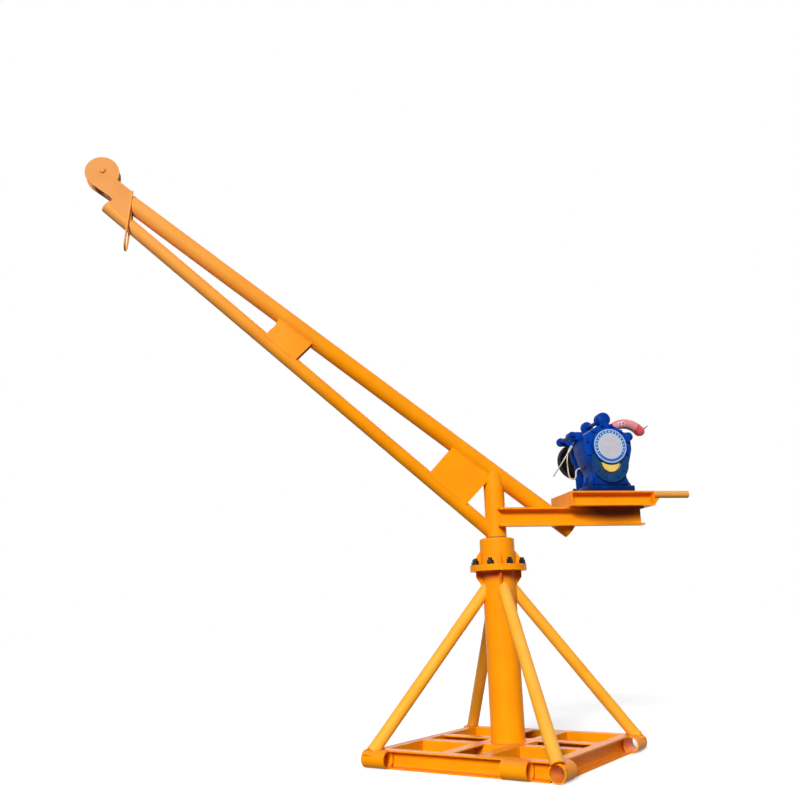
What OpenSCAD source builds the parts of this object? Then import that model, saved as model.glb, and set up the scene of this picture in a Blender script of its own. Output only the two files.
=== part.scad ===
// Portable slewing mini crane: a square channel-iron base with a braced column,
// a ribbed slewing hub, a welded tube boom with a rope sheave at its head, and an
// electric drum winch on a channel bracket behind the mast.
//
// Units are millimetres. The origin is on the floor under the column, +Z is up,
// the boom reaches towards -X and the winch stands towards +X. The square base
// is turned 45 degrees to the boom, so its corners lie on the X and Y axes.

/* [Base frame] */
// Width across the square frame, over the flange tips
frame_w = 785; // [600:5:1000]
// Height of the side channels
side_h = 70; // [60:1:100]
// Flange width of the side channels
side_b = 43; // [38:1:55]
// Web thickness of the side channels
side_web = 5; // [4:0.5:8]
// Flange thickness of the side channels, thin enough for a leg to slide between them
side_ft = 6; // [4:0.5:6]
// Half width over the crossed angle irons that carry the column
cross_half = 105; // [90:1:140]
// Leg of the angle irons
angle_leg = 50; // [40:1:60]
// Thickness of the angle irons
angle_t = 5; // [4:0.5:8]

/* [Outrigger sockets] */
// Outer diameter of the socket tubes
socket_d = 68; // [54:1:68]
// Wall of the socket tubes
socket_wall = 5; // [3:0.5:8]
// Length of a socket on a corner
corner_socket_len = 108; // [80:1:140]
// How far a corner socket stands out past the frame
corner_socket_out = 40; // [0:1:60]
// Length of the socket under the front strut
near_socket_len = 98; // [80:1:140]
// How far the socket under the front strut stands out past the frame
near_socket_out = 12; // [0:1:60]
// Length of a socket set in along a side
inset_socket_len = 106; // [60:1:120]
// Free gap between an inset socket and the corner socket it faces
inset_gap = 73; // [20:1:90]
// How far the socket axis lies outside the flange tips
socket_axis_out = 2.5; // [-10:0.5:15]

/* [Column and struts] */
// Outer diameter of the column
column_d = 140; // [120:1:180]
// Wall of the column
column_wall = 5; // [3:0.5:10]
// Height of the column's top, under the flanges
column_top = 753; // [600:1:900]
// Outer diameter of the struts
strut_d = 51; // [40:1:60]
// Wall of the struts
strut_wall = 4; // [3:0.5:6]
// How far below the column's top the strut axes meet its wall
strut_drop = 87; // [60:1:200]

/* [Slewing hub] */
// Diameter of the two bolted flanges
flange_d = 242; // [220:1:300]
// Thickness of each flange
flange_t = 13; // [8:1:20]
// Outer diameter of the bearing housing
hub_d = 149; // [130:1:170]
// Height of the bearing housing above the upper flange
hub_h = 113; // [80:1:160]
// Rounding of the housing's top edge
hub_round = 9; // [2:1:15]
// Thickness of the hub ribs
rib_t = 8; // [5:1:12]
// Direction of the first hub rib, seen from above
rib_turn = 258; // [0:1:359]

/* [Mast and boom] */
// Outer diameter of the mast
mast_d = 89; // [70:1:108]
// Wall of the mast
mast_wall = 5; // [4:0.5:8]
// Height above the hub at which the top chord's axis crosses the mast's axis
top_chord_lift = 289; // [220:1:380]
// Slope of the top chord below the horizontal, towards the winch
top_chord_tilt = 37; // [30:0.1:45]
// Outer diameter of the top chord
top_chord_d = 76; // [60:1:84]
// Wall of the top chord
top_chord_wall = 4; // [3:0.5:6]
// Length of the top chord's tail, from the mast axis to its open end
top_chord_tail = 426; // [300:1:480]
// Distance from the mast axis to the boom head's stop face
head_x = 1586; // [1200:1:1900]
// Height above the hub at which the bottom chord's axis crosses the mast's axis
bottom_chord_lift = 10; // [0:1:40]
// Slope of the bottom chord
bottom_chord_tilt = 40.8; // [38:0.1:42]
// Outer diameter of the bottom chord
bottom_chord_d = 60; // [48:1:64]
// Wall of the bottom chord
bottom_chord_wall = 3.5; // [3:0.5:5]
// How far the bottom chord runs past the boom head's stop face, along X
bottom_chord_out = 109; // [60:1:120]
// Clear gap between the paired gusset plates
plate_gap = 46; // [34:1:47]
// Thickness of the gusset plates
plate_t = 6; // [4:1:10]

/* [Boom head] */
// Height of the stop face's top above the top chord's axis
heel_rise = 51; // [45:1:70]
// How far the lobe's centre lies past the stop face, along X
lobe_out = 134; // [120:1:160]
// How far the lobe's centre lies above the stop face's top
lobe_rise = 88; // [80:1:110]
// Radius of the round lobe of the head plates
lobe_r = 73; // [68:1:90]
// Radius of the rope sheave
sheave_r = 56; // [40:1:60]
// Width of the sheave
sheave_w = 30; // [20:1:34]
// Diameter of the rope groove
groove_d = 16; // [6:1:18]
// Diameter of the sheave pin
sheave_pin_d = 30; // [20:1:34]
// Diameter of the guard loop's bar
loop_bar_d = 9; // [6:1:12]
// Height of the guard loop, from its ends to the bottom of its bend
loop_h = 270; // [220:1:300]
// Lean of the guard loop from the vertical
loop_lean = 5; // [0:1:10]

/* [Winch bracket] */
// Height of the beam
beam_h = 80; // [70:1:100]
// Flange thickness of the beam
beam_ft = 8; // [6:0.5:10]
// Length of the beam from the mast axis
beam_len = 660; // [560:1:760]
// Height of the beam's underside above the hub
beam_lift = 45; // [35:1:90]
// Length of the bracket along the boom direction
bracket_len = 386; // [300:1:460]
// How far the bracket runs past the end of the beam
bracket_overhang = 35; // [0:1:60]
// Width of the bracket across the boom direction
bracket_w = 250; // [200:1:320]
// Height of the bracket channels
bracket_h = 63; // [50:1:80]
// Flange width of the bracket channels
bracket_b = 40; // [35:1:50]
// Web thickness of the bracket channels
bracket_web = 5; // [4:0.5:8]
// Flange thickness of the bracket channels
bracket_ft = 7; // [5:0.5:9]
// Diameter of the push handle
handle_d = 32; // [25:1:38]
// Wall of the push handle
handle_wall = 3; // [2:0.5:5]
// Length of the push handle
handle_len = 168; // [100:1:300]

/* [Winch] */
// Distance from the bracket's near end to the drum's axis
winch_station = 199; // [170:1:230]
// How far the gearbox stands back from the front of the bracket
gearbox_set = 20; // [10:1:30]
// How far the motor's end plate stands forward of the back of the bracket
motor_set = 25; // [20:1:40]
// Height of the drum axis above the bracket
winch_axis_h = 204; // [190:1:230]
// Depth of the gearbox
gearbox_depth = 130; // [110:1:135]
// Width of the winch feet
foot_w = 218; // [190:1:240]
// Thickness of the winch feet
foot_t = 28; // [15:1:35]
// Radius of the round gearbox cover
cover_r = 80; // [75:1:85]
// Radius of the lower bearing cover
bearing_cover_r = 86; // [70:1:90]
// Radius of the drum flanges
drum_flange_r = 80; // [70:1:84]
// Radius of the drum barrel
drum_barrel_r = 42; // [35:1:50]
// Diameter of the drum shaft
drum_shaft_d = 28; // [20:1:32]
// Diameter of the hoist rope
rope_d = 6; // [4:1:8]
// Layers of rope on the drum
rope_layers = 5; // [2:1:5]
// Radius of the motor
motor_r = 87; // [70:1:90]
// Length of the motor behind its end plate
motor_len = 186; // [150:1:220]

/* [Hidden] */
// Running clearance between a shaft and its bore, on the radius
run_fit = 0.08;
// Gap between pieces that are welded or seated
seat_gap = 0.2;
// Side clearance of a moving piece
side_clear = 5;

paint = [1.0, 0.62, 0.08];
paint_light = [1.0, 0.72, 0.42];
winch_blue = [0.05, 0.24, 0.68];
winch_dark = [0.05, 0.13, 0.34];
steel = [0.55, 0.56, 0.58];
rope_grey = [0.16, 0.14, 0.13];

// ---------------------------------------------------------------- base values
half = frame_w / 2;
web_in = half - side_b;
socket_r = socket_d / 2;
socket_line = half + socket_axis_out;
socket_z = side_h / 2;
corner_end = half + corner_socket_out;
corner_start = corner_end - corner_socket_len;
near_end = half + near_socket_out;
near_start = near_end - near_socket_len;
inset_end = socket_line - socket_r - inset_gap;
inset_start = inset_end - inset_socket_len;
// A side stops short of the corner socket that crosses its end
side_stop = socket_line - socket_r - 0.8;
column_r = column_d / 2;
strut_r = strut_d / 2;
strut_foot_r = half * sqrt(2);
strut_foot_z = socket_z + socket_r;
strut_top_z = column_top - strut_drop;
strut_run = strut_foot_r - column_r;
strut_rise = strut_top_z - strut_foot_z;
strut_lean = atan2(strut_rise, strut_run);
strut_len = norm([strut_run, strut_rise]);
flange_z = column_top;
hub_z = flange_z + 2 * flange_t;
hub_top = hub_z + hub_h;
mast_r = mast_d / 2;
mast_foot_z = flange_z + flange_t + 0.3;

// ---------------------------------------------------------------- boom values
top_chord_z = hub_top + top_chord_lift;
bottom_chord_z = hub_top + bottom_chord_lift;
bottom_chord_len = (head_x + bottom_chord_out) / cos(bottom_chord_tilt);
top_chord_r = top_chord_d / 2;
bottom_chord_r = bottom_chord_d / 2;
plate_in = plate_gap / 2;
// Stations of the gusset corners along X: on the top chord, then on the bottom one
mid_gusset_x = [-924, -779, -880, -1007];
mast_gusset_x = [-167, 5, -146, -301];
notch_x = -1000;
notch_r = 47;
loop_top_z = top_chord_z + tan(top_chord_tilt) * head_x + heel_rise;
loop_half = bottom_chord_r + loop_bar_d / 2 + 0.3;
lobe_x = -head_x - lobe_out;
lobe_z = loop_top_z + lobe_rise;
sheave_x = lobe_x - 1;
sheave_z = lobe_z + 10;

function top_z(x) = top_chord_z - tan(top_chord_tilt) * x;
function bottom_z(x) = bottom_chord_z - tan(bottom_chord_tilt) * x;

// --------------------------------------------------------------- winch values
beam_z = hub_top + beam_lift;
beam_y = -top_chord_r - 0.3;
bracket_z = beam_z + beam_h + seat_gap;
bracket_top = bracket_z + bracket_h;
bracket_x = beam_len + bracket_overhang - bracket_len;
bracket_y = bracket_w / 2;
winch_x = bracket_x + winch_station;
winch_z = bracket_top + winch_axis_h;
gearbox_y = -bracket_y + gearbox_set;
gearbox_back = gearbox_y + gearbox_depth;
foot_top = bracket_top + seat_gap + foot_t;
motor_plate_y = bracket_y - motor_set;
motor_plate_t = 18;
motor_y = motor_plate_y + motor_plate_t;
drum_y = gearbox_back + side_clear;
drum_len = motor_plate_y - side_clear - drum_y;
cover_t = 20;
cover_drop = 5;
boss_h = 129;
boss_r = 32;
back_boss_r = 30;
lug_x = 136;
lug_z = 58;
lug_r = 20;
lug_y = [gearbox_y + 65, gearbox_y + 105];
tie_rod_r = 9;
bearing_drop = 79;
bearing_cap_r = 40;
cord_d = 5.5;
capacitor_r = 24;

// ------------------------------------------------------------- shared shapes
// Section of a rolled channel: back on x = 0, flanges towards -x, foot on y = 0
module channel_section(h, b, web, ft) {
    root = ft;
    difference() {
        translate([-b, 0]) square([b, h]);
        translate([-b - 1, ft]) square([b - web + 1 - root, h - 2 * ft]);
        translate([-b - 1, ft + root]) square([b - web + 1, h - 2 * ft - 2 * root]);
        for (z = [ft + root, h - ft - root])
            translate([-web - root, z]) circle(root, $fn = 48);
    }
}

// Channel from x0 to x1, standing on z = 0, with its back on y = 0
module channel_bar(x0, x1, h, b, web, ft) {
    translate([x0, 0, 0]) rotate([90, 0, 90]) linear_extrude(x1 - x0)
        channel_section(h, b, web, ft);
}

// Equal angle from x0 to x1: top face on z = 0, outer leg on y = 0, inward is +y
module angle_bar(x0, x1) {
    translate([x0, 0, -angle_leg]) rotate([90, 0, 90]) linear_extrude(x1 - x0) {
        square([angle_t, angle_leg]);
        translate([0, angle_leg - angle_t]) square([angle_leg, angle_t]);
    }
}

// Tube along x from x0 to x1
module tube_x(x0, x1, r, wall) {
    translate([x0, 0, 0]) rotate([0, 90, 0]) difference() {
        cylinder(h = x1 - x0, r = r, $fn = 96);
        translate([0, 0, -1]) cylinder(h = x1 - x0 + 2, r = r - wall, $fn = 96);
    }
}

module rod_x(x0, x1, r) {
    translate([x0, 0, 0]) rotate([0, 90, 0]) cylinder(h = x1 - x0, r = r, $fn = 96);
}

module rod_y(y0, y1, r) {
    translate([0, y1, 0]) rotate([90, 0, 0]) cylinder(h = y1 - y0, r = r, $fn = 96);
}

// Plate with its outline in the x-z plane, from y0 to y1
module plate_xz(y0, y1, outline) {
    translate([0, y1, 0]) rotate([90, 0, 0]) linear_extrude(y1 - y0) polygon(outline);
}

module at_top_chord() {
    translate([0, 0, top_chord_z]) rotate([0, top_chord_tilt, 0]) children();
}

module at_bottom_chord() {
    translate([0, 0, bottom_chord_z]) rotate([0, bottom_chord_tilt, 0]) children();
}

// The space that the two chords and the mast take, for coping what meets them
module chord_space() {
    at_top_chord() rod_x(-head_x * 2, top_chord_tail, top_chord_r + seat_gap);
    at_bottom_chord() rod_x(-bottom_chord_len, 60, bottom_chord_r + seat_gap);
}

module mast_space() {
    translate([0, 0, mast_foot_z])
        cylinder(h = top_chord_z, r = mast_r + seat_gap, $fn = 96);
}

// ----------------------------------------------------------------------- base
// The base's own axes run along its sides
module on_base() {
    rotate([0, 0, -45]) children();
}

// Side number 0 is the front left one; each next one is a quarter turn on
module on_side(number) {
    on_base() rotate([0, 0, 90 * number]) translate([0, -socket_line, socket_z]) children();
}

module side_channel(number, x0, x1, sockets) {
    color(paint) difference() {
        on_base() rotate([0, 0, 90 * number]) translate([0, -web_in, 0])
            channel_bar(x0, x1, side_h, side_b, side_web, side_ft);
        for (span = sockets)
            on_side(number) rod_x(span[0] - 1, span[1] + 1, socket_r + seat_gap);
    }
}

module sockets(number, spans) {
    color(paint) for (span = spans)
        on_side(number) tube_x(span[0], span[1], socket_r, socket_wall);
}

corner_low = [-corner_end, -corner_start];
corner_high = [corner_start, corner_end];
near_low = [-near_end, -near_start];
inset_low = [-inset_end, -inset_start];
inset_high = [inset_start, inset_end];
spans_front_left = [corner_low, inset_high];
spans_front_right = [near_low, corner_high];
spans_back_right = [inset_low, corner_high];

module side_channel_front_left() {
    side_channel(0, -web_in, side_stop, spans_front_left);
}
module side_channel_front_right() {
    side_channel(1, -web_in, web_in, spans_front_right);
}
module side_channel_back_right() {
    side_channel(2, -side_stop, web_in, spans_back_right);
}
module side_channel_back_left() {
    side_channel(3, -side_stop, side_stop, []);
}

module sockets_front_left() { sockets(0, spans_front_left); }
module sockets_front_right() { sockets(1, spans_front_right); }
module sockets_back_right() { sockets(2, spans_back_right); }

// Two long angle irons between opposite sides
module cross_angles() {
    color(paint) on_base() for (turn = [0, 180])
        rotate([0, 0, turn]) translate([0, -cross_half, side_h]) angle_bar(-web_in, web_in);
}

// Shorter angle irons that cross them, cut where the long ones run
module tie_angles() {
    inner = cross_half - angle_leg;
    color(paint) on_base() for (turn = [90, 270])
        rotate([0, 0, turn]) translate([0, -cross_half, side_h]) {
            angle_bar(-web_in, -cross_half);
            angle_bar(-inner, inner);
            angle_bar(cross_half, web_in);
        }
}

module column() {
    color(paint) translate([0, 0, side_h]) difference() {
        cylinder(h = column_top - side_h, r = column_r, $fn = 120);
        translate([0, 0, -1])
            cylinder(h = column_top - side_h + 2, r = column_r - column_wall, $fn = 120);
    }
}

// Places its children at a strut's foot, with x up along the strut
module at_strut(turn) {
    rotate([0, 0, turn]) translate([strut_foot_r, 0, strut_foot_z])
        rotate([0, strut_lean, 0]) rotate([0, 0, 180]) children();
}

// A strut leans from a corner socket up to the column, coped at both ends
module strut(turn) {
    overrun = 40;
    difference() {
        at_strut(turn) tube_x(-9, strut_len + overrun, strut_r, strut_wall);
        translate([0, 0, side_h])
            cylinder(h = column_top, r = column_r + seat_gap, $fn = 120);
    }
}

module struts() {
    color(paint_light) difference() {
        for (turn = [0 : 90 : 270]) strut(turn);
        for (number = [0 : 3])
            on_side(number) rod_x(-corner_end - 1, corner_end + 1, socket_r + seat_gap);
    }
}

// ------------------------------------------------------------------------ hub
module rib(points) {
    translate([0, rib_t / 2, 0]) rotate([90, 0, 0]) linear_extrude(rib_t) polygon(points);
}

module column_flange() {
    color(paint) translate([0, 0, flange_z])
        cylinder(h = flange_t, r = flange_d / 2, $fn = 120);
}

module column_ribs() {
    out = flange_d / 2 - 24;
    color(paint) difference() {
        for (turn = [0 : 90 : 270]) rotate([0, 0, rib_turn + turn])
            rib([
                [column_r + 0.05, flange_z - 62], [column_r + 3, flange_z - 62],
                [out, flange_z - 26], [out, flange_z], [column_r + 0.05, flange_z]
            ]);
        for (turn = [0 : 90 : 270])
            at_strut(turn) rod_x(0, strut_len + 40, strut_r + seat_gap);
    }
}

// Bearing housing cast in one with the upper flange, bored for the mast
module hub() {
    r = hub_d / 2;
    bore = mast_r + run_fit;
    color(paint) translate([0, 0, flange_z + flange_t]) rotate_extrude($fn = 120) {
        translate([bore, 0]) square([flange_d / 2 - bore, flange_t]);
        translate([bore, flange_t]) square([r - bore, hub_h - hub_round]);
        translate([bore, flange_t]) square([r - hub_round - bore, hub_h]);
        translate([r - hub_round, flange_t + hub_h - hub_round]) circle(hub_round, $fn = 48);
    }
}

module hub_ribs() {
    r = hub_d / 2 + 0.05;
    out = flange_d / 2 - 14.5;
    color(paint) for (turn = [0 : 90 : 270]) rotate([0, 0, rib_turn + turn])
        rib([[r, hub_z], [out, hub_z], [out, hub_z + 15], [r + 3, hub_z + 57], [r, hub_z + 57]]);
}

// ----------------------------------------------------------------------- boom
// The mast's mouth straddles the top chord, with a round tongue up each side of it
module mast() {
    tongue_r = mast_r - 10;
    shoulder = top_chord_z - 50;
    color(paint) difference() {
        intersection() {
            translate([0, 0, mast_foot_z])
                cylinder(h = top_chord_z - mast_foot_z, r = mast_r, $fn = 96);
            translate([0, mast_r + 1, 0]) rotate([90, 0, 0])
                linear_extrude(2 * mast_r + 2) hull() {
                    translate([-6, top_chord_z - tongue_r]) circle(tongue_r, $fn = 96);
                    translate([-mast_r - 1, mast_foot_z - 1])
                        square([2 * mast_r + 2, shoulder - mast_foot_z]);
                }
        }
        translate([0, 0, mast_foot_z - 1])
            cylinder(h = top_chord_z, r = mast_r - mast_wall, $fn = 96);
        at_top_chord() rod_x(-200, 200, top_chord_r + seat_gap);
    }
}

module top_chord() {
    color(paint) difference() {
        at_top_chord()
            tube_x(-head_x / cos(top_chord_tilt) - 60, top_chord_tail, top_chord_r, top_chord_wall);
        head_space(-loop_bar_d / 2 - 0.3);
    }
}

// Everything past the boom head's stop face, moved back by an amount
module head_space(back) {
    translate([-head_x, 0, loop_top_z]) rotate([0, loop_lean, 0])
        translate([-400 - back, -200, -500]) cube([400, 400, 800]);
}

module bottom_chord() {
    color(paint) difference() {
        at_bottom_chord() tube_x(-bottom_chord_len, 20, bottom_chord_r, bottom_chord_wall);
        mast_space();
    }
}

// A pair of plates between the chords; each edge runs between the chord axes
module gusset_pair(x) {
    color(paint) difference() {
        for (y = [-plate_in - plate_t, plate_in])
            plate_xz(y, y + plate_t, [
                [x[0], top_z(x[0])], [x[1], top_z(x[1])],
                [x[2], bottom_z(x[2])], [x[3], bottom_z(x[3])]
            ]);
        chord_space();
        mast_space();
    }
}

// The upper edge is cut out round, about a point between the chords
module mid_gussets() {
    difference() {
        gusset_pair(mid_gusset_x);
        translate([notch_x, 0, (top_z(notch_x) + bottom_z(notch_x)) / 2])
            rod_y(-plate_in - plate_t - 1, plate_in + plate_t + 1, notch_r);
    }
}
module mast_gussets() { gusset_pair(mast_gusset_x); }

// ------------------------------------------------------------------ boom head
// Where a line from point p touches the circle about c; side is 1 or -1
function touch(p, c, r, side) =
    let (d = p - c, a = atan2(d[1], d[0]), b = acos(r / norm(d)))
    c + r * [cos(a + side * b), sin(a + side * b)];

lobe = [lobe_x, lobe_z];
heel = [-head_x, loop_top_z];
sole = [-head_x - 99, bottom_z(-head_x - 99)];
toe = [-head_x - 83, bottom_z(-head_x - 83) + 47];
chin = touch(toe, lobe, lobe_r, -1);

// A neck that runs on from the top chord into a round lobe
module head_outline() {
    neck = top_chord_tilt + 2;
    translate(lobe) circle(lobe_r, $fn = 96);
    polygon([
        lobe, heel + 125 * [-cos(neck), sin(neck)], heel,
        [-head_x, bottom_z(-head_x)], sole, toe, chin
    ]);
}

module head_plates() {
    color(paint_light) difference() {
        for (y = [-plate_in - plate_t, plate_in])
            translate([0, y + plate_t, 0]) rotate([90, 0, 0])
                linear_extrude(plate_t) head_outline();
        at_bottom_chord() rod_x(-bottom_chord_len - 1, 60, bottom_chord_r + seat_gap);
        difference() {
            at_top_chord() rod_x(-head_x * 2, 0, top_chord_r + seat_gap);
            head_space(-loop_bar_d / 2);
        }
        translate([sheave_x, 0, sheave_z]) rod_y(-50, 50, sheave_pin_d / 2 + run_fit);
    }
}

// Strip between the head plates along their lower edge
module head_spacer() {
    edge = chin - toe;
    half_gap = plate_in - seat_gap;
    color(paint_light) translate([0, half_gap, 0]) rotate([90, 0, 0])
        linear_extrude(2 * half_gap) translate(toe) rotate(atan2(edge[1], edge[0]))
            translate([2, -6]) square([54, 5]);
}

module sheave_pin() {
    reach = plate_in + plate_t + 5;
    color(steel) translate([sheave_x, 0, sheave_z]) rod_y(-reach, reach, sheave_pin_d / 2);
}

module sheave() {
    w = sheave_w / 2;
    hub = plate_in - seat_gap;
    bore = sheave_pin_d / 2 + run_fit;
    color(steel) translate([sheave_x, 0, sheave_z]) rotate([90, 0, 0])
        rotate_extrude($fn = 96) difference() {
            union() {
                translate([bore, -hub]) square([8, 2 * hub]);
                translate([bore, -w]) square([sheave_r - bore, 2 * w]);
            }
            translate([sheave_r, 0]) circle(groove_d / 2, $fn = 48);
            translate([bore + 14, 4]) square([sheave_r - bore - 28, w]);
            translate([bore + 14, -4 - w]) square([sheave_r - bore - 28, w]);
        }
}

// Bent round bar that straddles the bottom chord and closes below it
module guard_loop() {
    leg = loop_h - loop_half - loop_bar_d / 2;
    r = loop_bar_d / 2;
    color(paint) translate([-head_x, 0, loop_top_z]) rotate([0, loop_lean, 0]) {
        for (side = [-1, 1])
            translate([0, side * loop_half, -leg]) cylinder(h = leg, r = r, $fn = 48);
        translate([0, 0, -leg]) rotate([-90, 0, 90]) rotate_extrude(angle = 180, $fn = 96)
            translate([loop_half, 0]) circle(r, $fn = 48);
    }
}

// --------------------------------------------------------------- winch bracket
// Channel behind the mast, coped round it, with its back along the top chord
module beam() {
    color(paint) difference() {
        translate([0, beam_y, beam_z])
            channel_bar(-3, beam_len, beam_h, side_b, side_web, beam_ft);
        mast_space();
    }
}

module bracket_end_near() {
    color(paint) translate([bracket_x, 0, bracket_z]) bracket_end_shape();
}
module bracket_end_far() {
    color(paint) translate([bracket_x + bracket_len, 0, bracket_z])
        mirror([1, 0, 0]) bracket_end_shape();
}

// End channel with its back outward; its flanges stop at the side channels
module bracket_end_shape() {
    inner = bracket_y - bracket_b - seat_gap;
    translate([0, -bracket_y, 0]) cube([bracket_web, bracket_w, bracket_h]);
    rotate([0, 0, -90]) mirror([0, 1, 0])
        channel_bar(-inner, inner, bracket_h, bracket_b, bracket_web, bracket_ft);
}

module bracket_side() {
    translate([bracket_x, -bracket_y + bracket_b, bracket_z])
        channel_bar(bracket_web + seat_gap, bracket_len - bracket_web - seat_gap,
            bracket_h, bracket_b, bracket_web, bracket_ft);
}

module bracket_side_front() { color(paint) bracket_side(); }
module bracket_side_back() { color(paint) mirror([0, 1, 0]) bracket_side(); }

handle_x = bracket_x + bracket_len + seat_gap;
handle_y = -bracket_y + bracket_b / 2;
handle_z = bracket_top - handle_d / 2 + 2;

module push_handle() {
    color(paint) translate([handle_x, handle_y, handle_z])
        tube_x(0, handle_len, handle_d / 2, handle_wall);
}

module handle_gusset() {
    t = 6;
    low = bracket_z + 6;
    top = handle_z - handle_d / 2 - seat_gap;
    color(paint) plate_xz(handle_y - t / 2, handle_y + t / 2,
        [[handle_x, low], [handle_x + 8, low], [handle_x + 32, top], [handle_x, top]]);
}

// ---------------------------------------------------------------------- winch
module at_winch(dz = 0) {
    translate([winch_x, 0, winch_z + dz]) children();
}

// Half outline of the gearbox, from its crown down to the foot
gearbox_side = [[6, 106], [43, 90], [72, 71], [108, 48], [112, 25], [112, -15], [95, -74],
    [76, -108]];

module gearbox_outline() {
    foot = [76, foot_top - winch_z];
    right = concat(gearbox_side, [foot]);
    polygon(concat(right, [for (i = [len(right) - 1 : -1 : 0]) [-right[i][0], right[i][1]]]));
}

module gearbox_foot() {
    color(winch_blue) translate([winch_x - foot_w / 2, gearbox_y, bracket_top + seat_gap])
        cube([foot_w, gearbox_depth, foot_t]);
}

module gearbox() {
    color(winch_blue) at_winch() {
        translate([0, gearbox_back, 0]) rotate([90, 0, 0]) linear_extrude(gearbox_depth)
            gearbox_outline();
        translate([0, 0, boss_h - 2]) rod_y(gearbox_y + 10, gearbox_y + 62, boss_r);
        for (side = [-1, 1]) {
            translate([side * lug_x, 0, lug_z]) rod_y(lug_y[0], lug_y[1], lug_r);
            translate([side * (lug_x - 26) - 26, lug_y[0], lug_z - lug_r])
                cube([52, lug_y[1] - lug_y[0], 2 * lug_r]);
        }
    }
}

module gearbox_cover() {
    color(winch_blue) at_winch(-cover_drop)
        rod_y(gearbox_y - cover_t, gearbox_y - seat_gap, cover_r);
}

module badge() {
    color("white") at_winch(-cover_drop)
        rod_y(gearbox_y - cover_t - 3, gearbox_y - cover_t - seat_gap, cover_r - 4);
}

module bearing_cover() {
    color(winch_blue) difference() {
        at_winch(-bearing_drop) rod_y(gearbox_y - 10, gearbox_y - seat_gap, bearing_cover_r);
        at_winch(-cover_drop) rod_y(gearbox_y - 40, gearbox_y + 1, cover_r + seat_gap);
        at_winch(-bearing_drop) rod_y(gearbox_y - 40, gearbox_y - 5, bearing_cap_r + 10);
        translate([winch_x - 500, gearbox_y - 50, 0]) cube([1000, 100, foot_top + seat_gap]);
    }
}

module bearing_cap() {
    color([0.93, 0.82, 0.48]) difference() {
        at_winch(-bearing_drop)
            rod_y(gearbox_y - 11, gearbox_y - 5 - seat_gap, bearing_cap_r);
        at_winch(-cover_drop) rod_y(gearbox_y - 40, gearbox_y + 1, cover_r + 2 * seat_gap);
    }
}

module drum_shaft() {
    color(steel) at_winch()
        rod_y(gearbox_back + seat_gap, motor_plate_y - seat_gap, drum_shaft_d / 2);
}

module drum() {
    bore = drum_shaft_d / 2 + run_fit;
    color(winch_dark) at_winch() translate([0, drum_y + drum_len, 0]) rotate([90, 0, 0])
        rotate_extrude($fn = 120) {
            translate([bore, 0]) square([drum_barrel_r - bore, drum_len]);
            for (z = [0, drum_len - 6])
                translate([drum_barrel_r - 1, z]) square([drum_flange_r - drum_barrel_r + 1, 6]);
        }
}

// Outer turns of the rope, side by side over the full layers below them
module drum_rope() {
    inner = drum_len - 12;
    turns = floor((inner - 2 * seat_gap) / rope_d);
    start = 6 + (inner - turns * rope_d) / 2;
    lay = drum_barrel_r + (rope_layers - 0.5) * rope_d;
    color(rope_grey) at_winch() translate([0, drum_y + drum_len, 0]) rotate([90, 0, 0])
        rotate_extrude($fn = 96) {
            translate([drum_barrel_r + seat_gap, start])
                square([lay - drum_barrel_r - seat_gap, turns * rope_d]);
            for (i = [0 : turns - 1])
                translate([lay, start + (i + 0.5) * rope_d]) circle(rope_d / 2, $fn = 24);
        }
}

module motor_foot() {
    color(winch_blue) translate([winch_x - foot_w / 2, bracket_y - 55, bracket_top + seat_gap])
        cube([foot_w, 55, foot_t]);
}

module motor_plate() {
    r = motor_r + 6;
    color(winch_blue) at_winch() translate([0, motor_y, 0]) rotate([90, 0, 0])
        linear_extrude(motor_plate_t) {
            circle(r, $fn = 96);
            translate([-76, foot_top + seat_gap - winch_z])
                square([152, winch_z - foot_top - 20]);
            translate([-22, r - 10]) square([44, boss_h - r + 8]);
            translate([0, boss_h - 2]) circle(back_boss_r, $fn = 48);
            for (side = [-1, 1]) {
                translate([side * lug_x, lug_z]) circle(lug_r, $fn = 48);
                translate([side * (lug_x - 28) - 28, lug_z - lug_r])
                    square([56, 2 * lug_r]);
            }
        }
}

module motor() {
    fins = 24;
    body = motor_len * 0.72;
    color(winch_dark) at_winch() translate([0, motor_y + body, 0]) rotate([90, 0, 0])
        linear_extrude(body - seat_gap) {
            circle(motor_r - 10, $fn = 96);
            for (i = [0 : fins - 1]) rotate(i * 360 / fins)
                translate([motor_r - 12, -2]) square([10, 4]);
        }
}

module fan_cover() {
    body = motor_len * 0.72;
    color(winch_dark) at_winch() translate([0, motor_y + body + seat_gap, 0])
        rotate([-90, 0, 0]) rotate_extrude($fn = 120) {
            square([motor_r - 10, motor_len - body - seat_gap]);
            square([motor_r, motor_len - body - 10]);
            translate([motor_r - 10, motor_len - body - 10]) circle(10 - seat_gap, $fn = 48);
        }
}

module capacitor() {
    color([0.12, 0.12, 0.14]) at_winch(motor_r + capacitor_r + seat_gap)
        rod_y(motor_y + 110, motor_y + 172, capacitor_r);
}

module tie_rods() {
    color(steel) at_winch() {
        for (side = [-1, 1]) translate([side * lug_x, 0, lug_z])
            rod_y(lug_y[1] + seat_gap, motor_plate_y - seat_gap, tie_rod_r);
        translate([0, 0, boss_h - 2])
            rod_y(gearbox_y + 62 + seat_gap, motor_plate_y - seat_gap, tie_rod_r);
    }
}

// -------------------------------------------------------------------- pendant
pendant_centre = [winch_x + 123, gearbox_y + 79, winch_z + 24];
pendant_bend = 95;
// Radius at the hand's end and at the lead's end
pendant_r = [24, 18];
pendant_from = 26;
pendant_to = 141;

function pendant_point(angle) =
    pendant_centre + pendant_bend * [cos(angle), 0, sin(angle)];

// Radius at a distance s along a bar of a given length whose ends are round
function round_end(s, length, r) =
    let (d = min(s, length - s)) d < r ? sqrt(r * r - (r - d) * (r - d)) : r;

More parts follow.
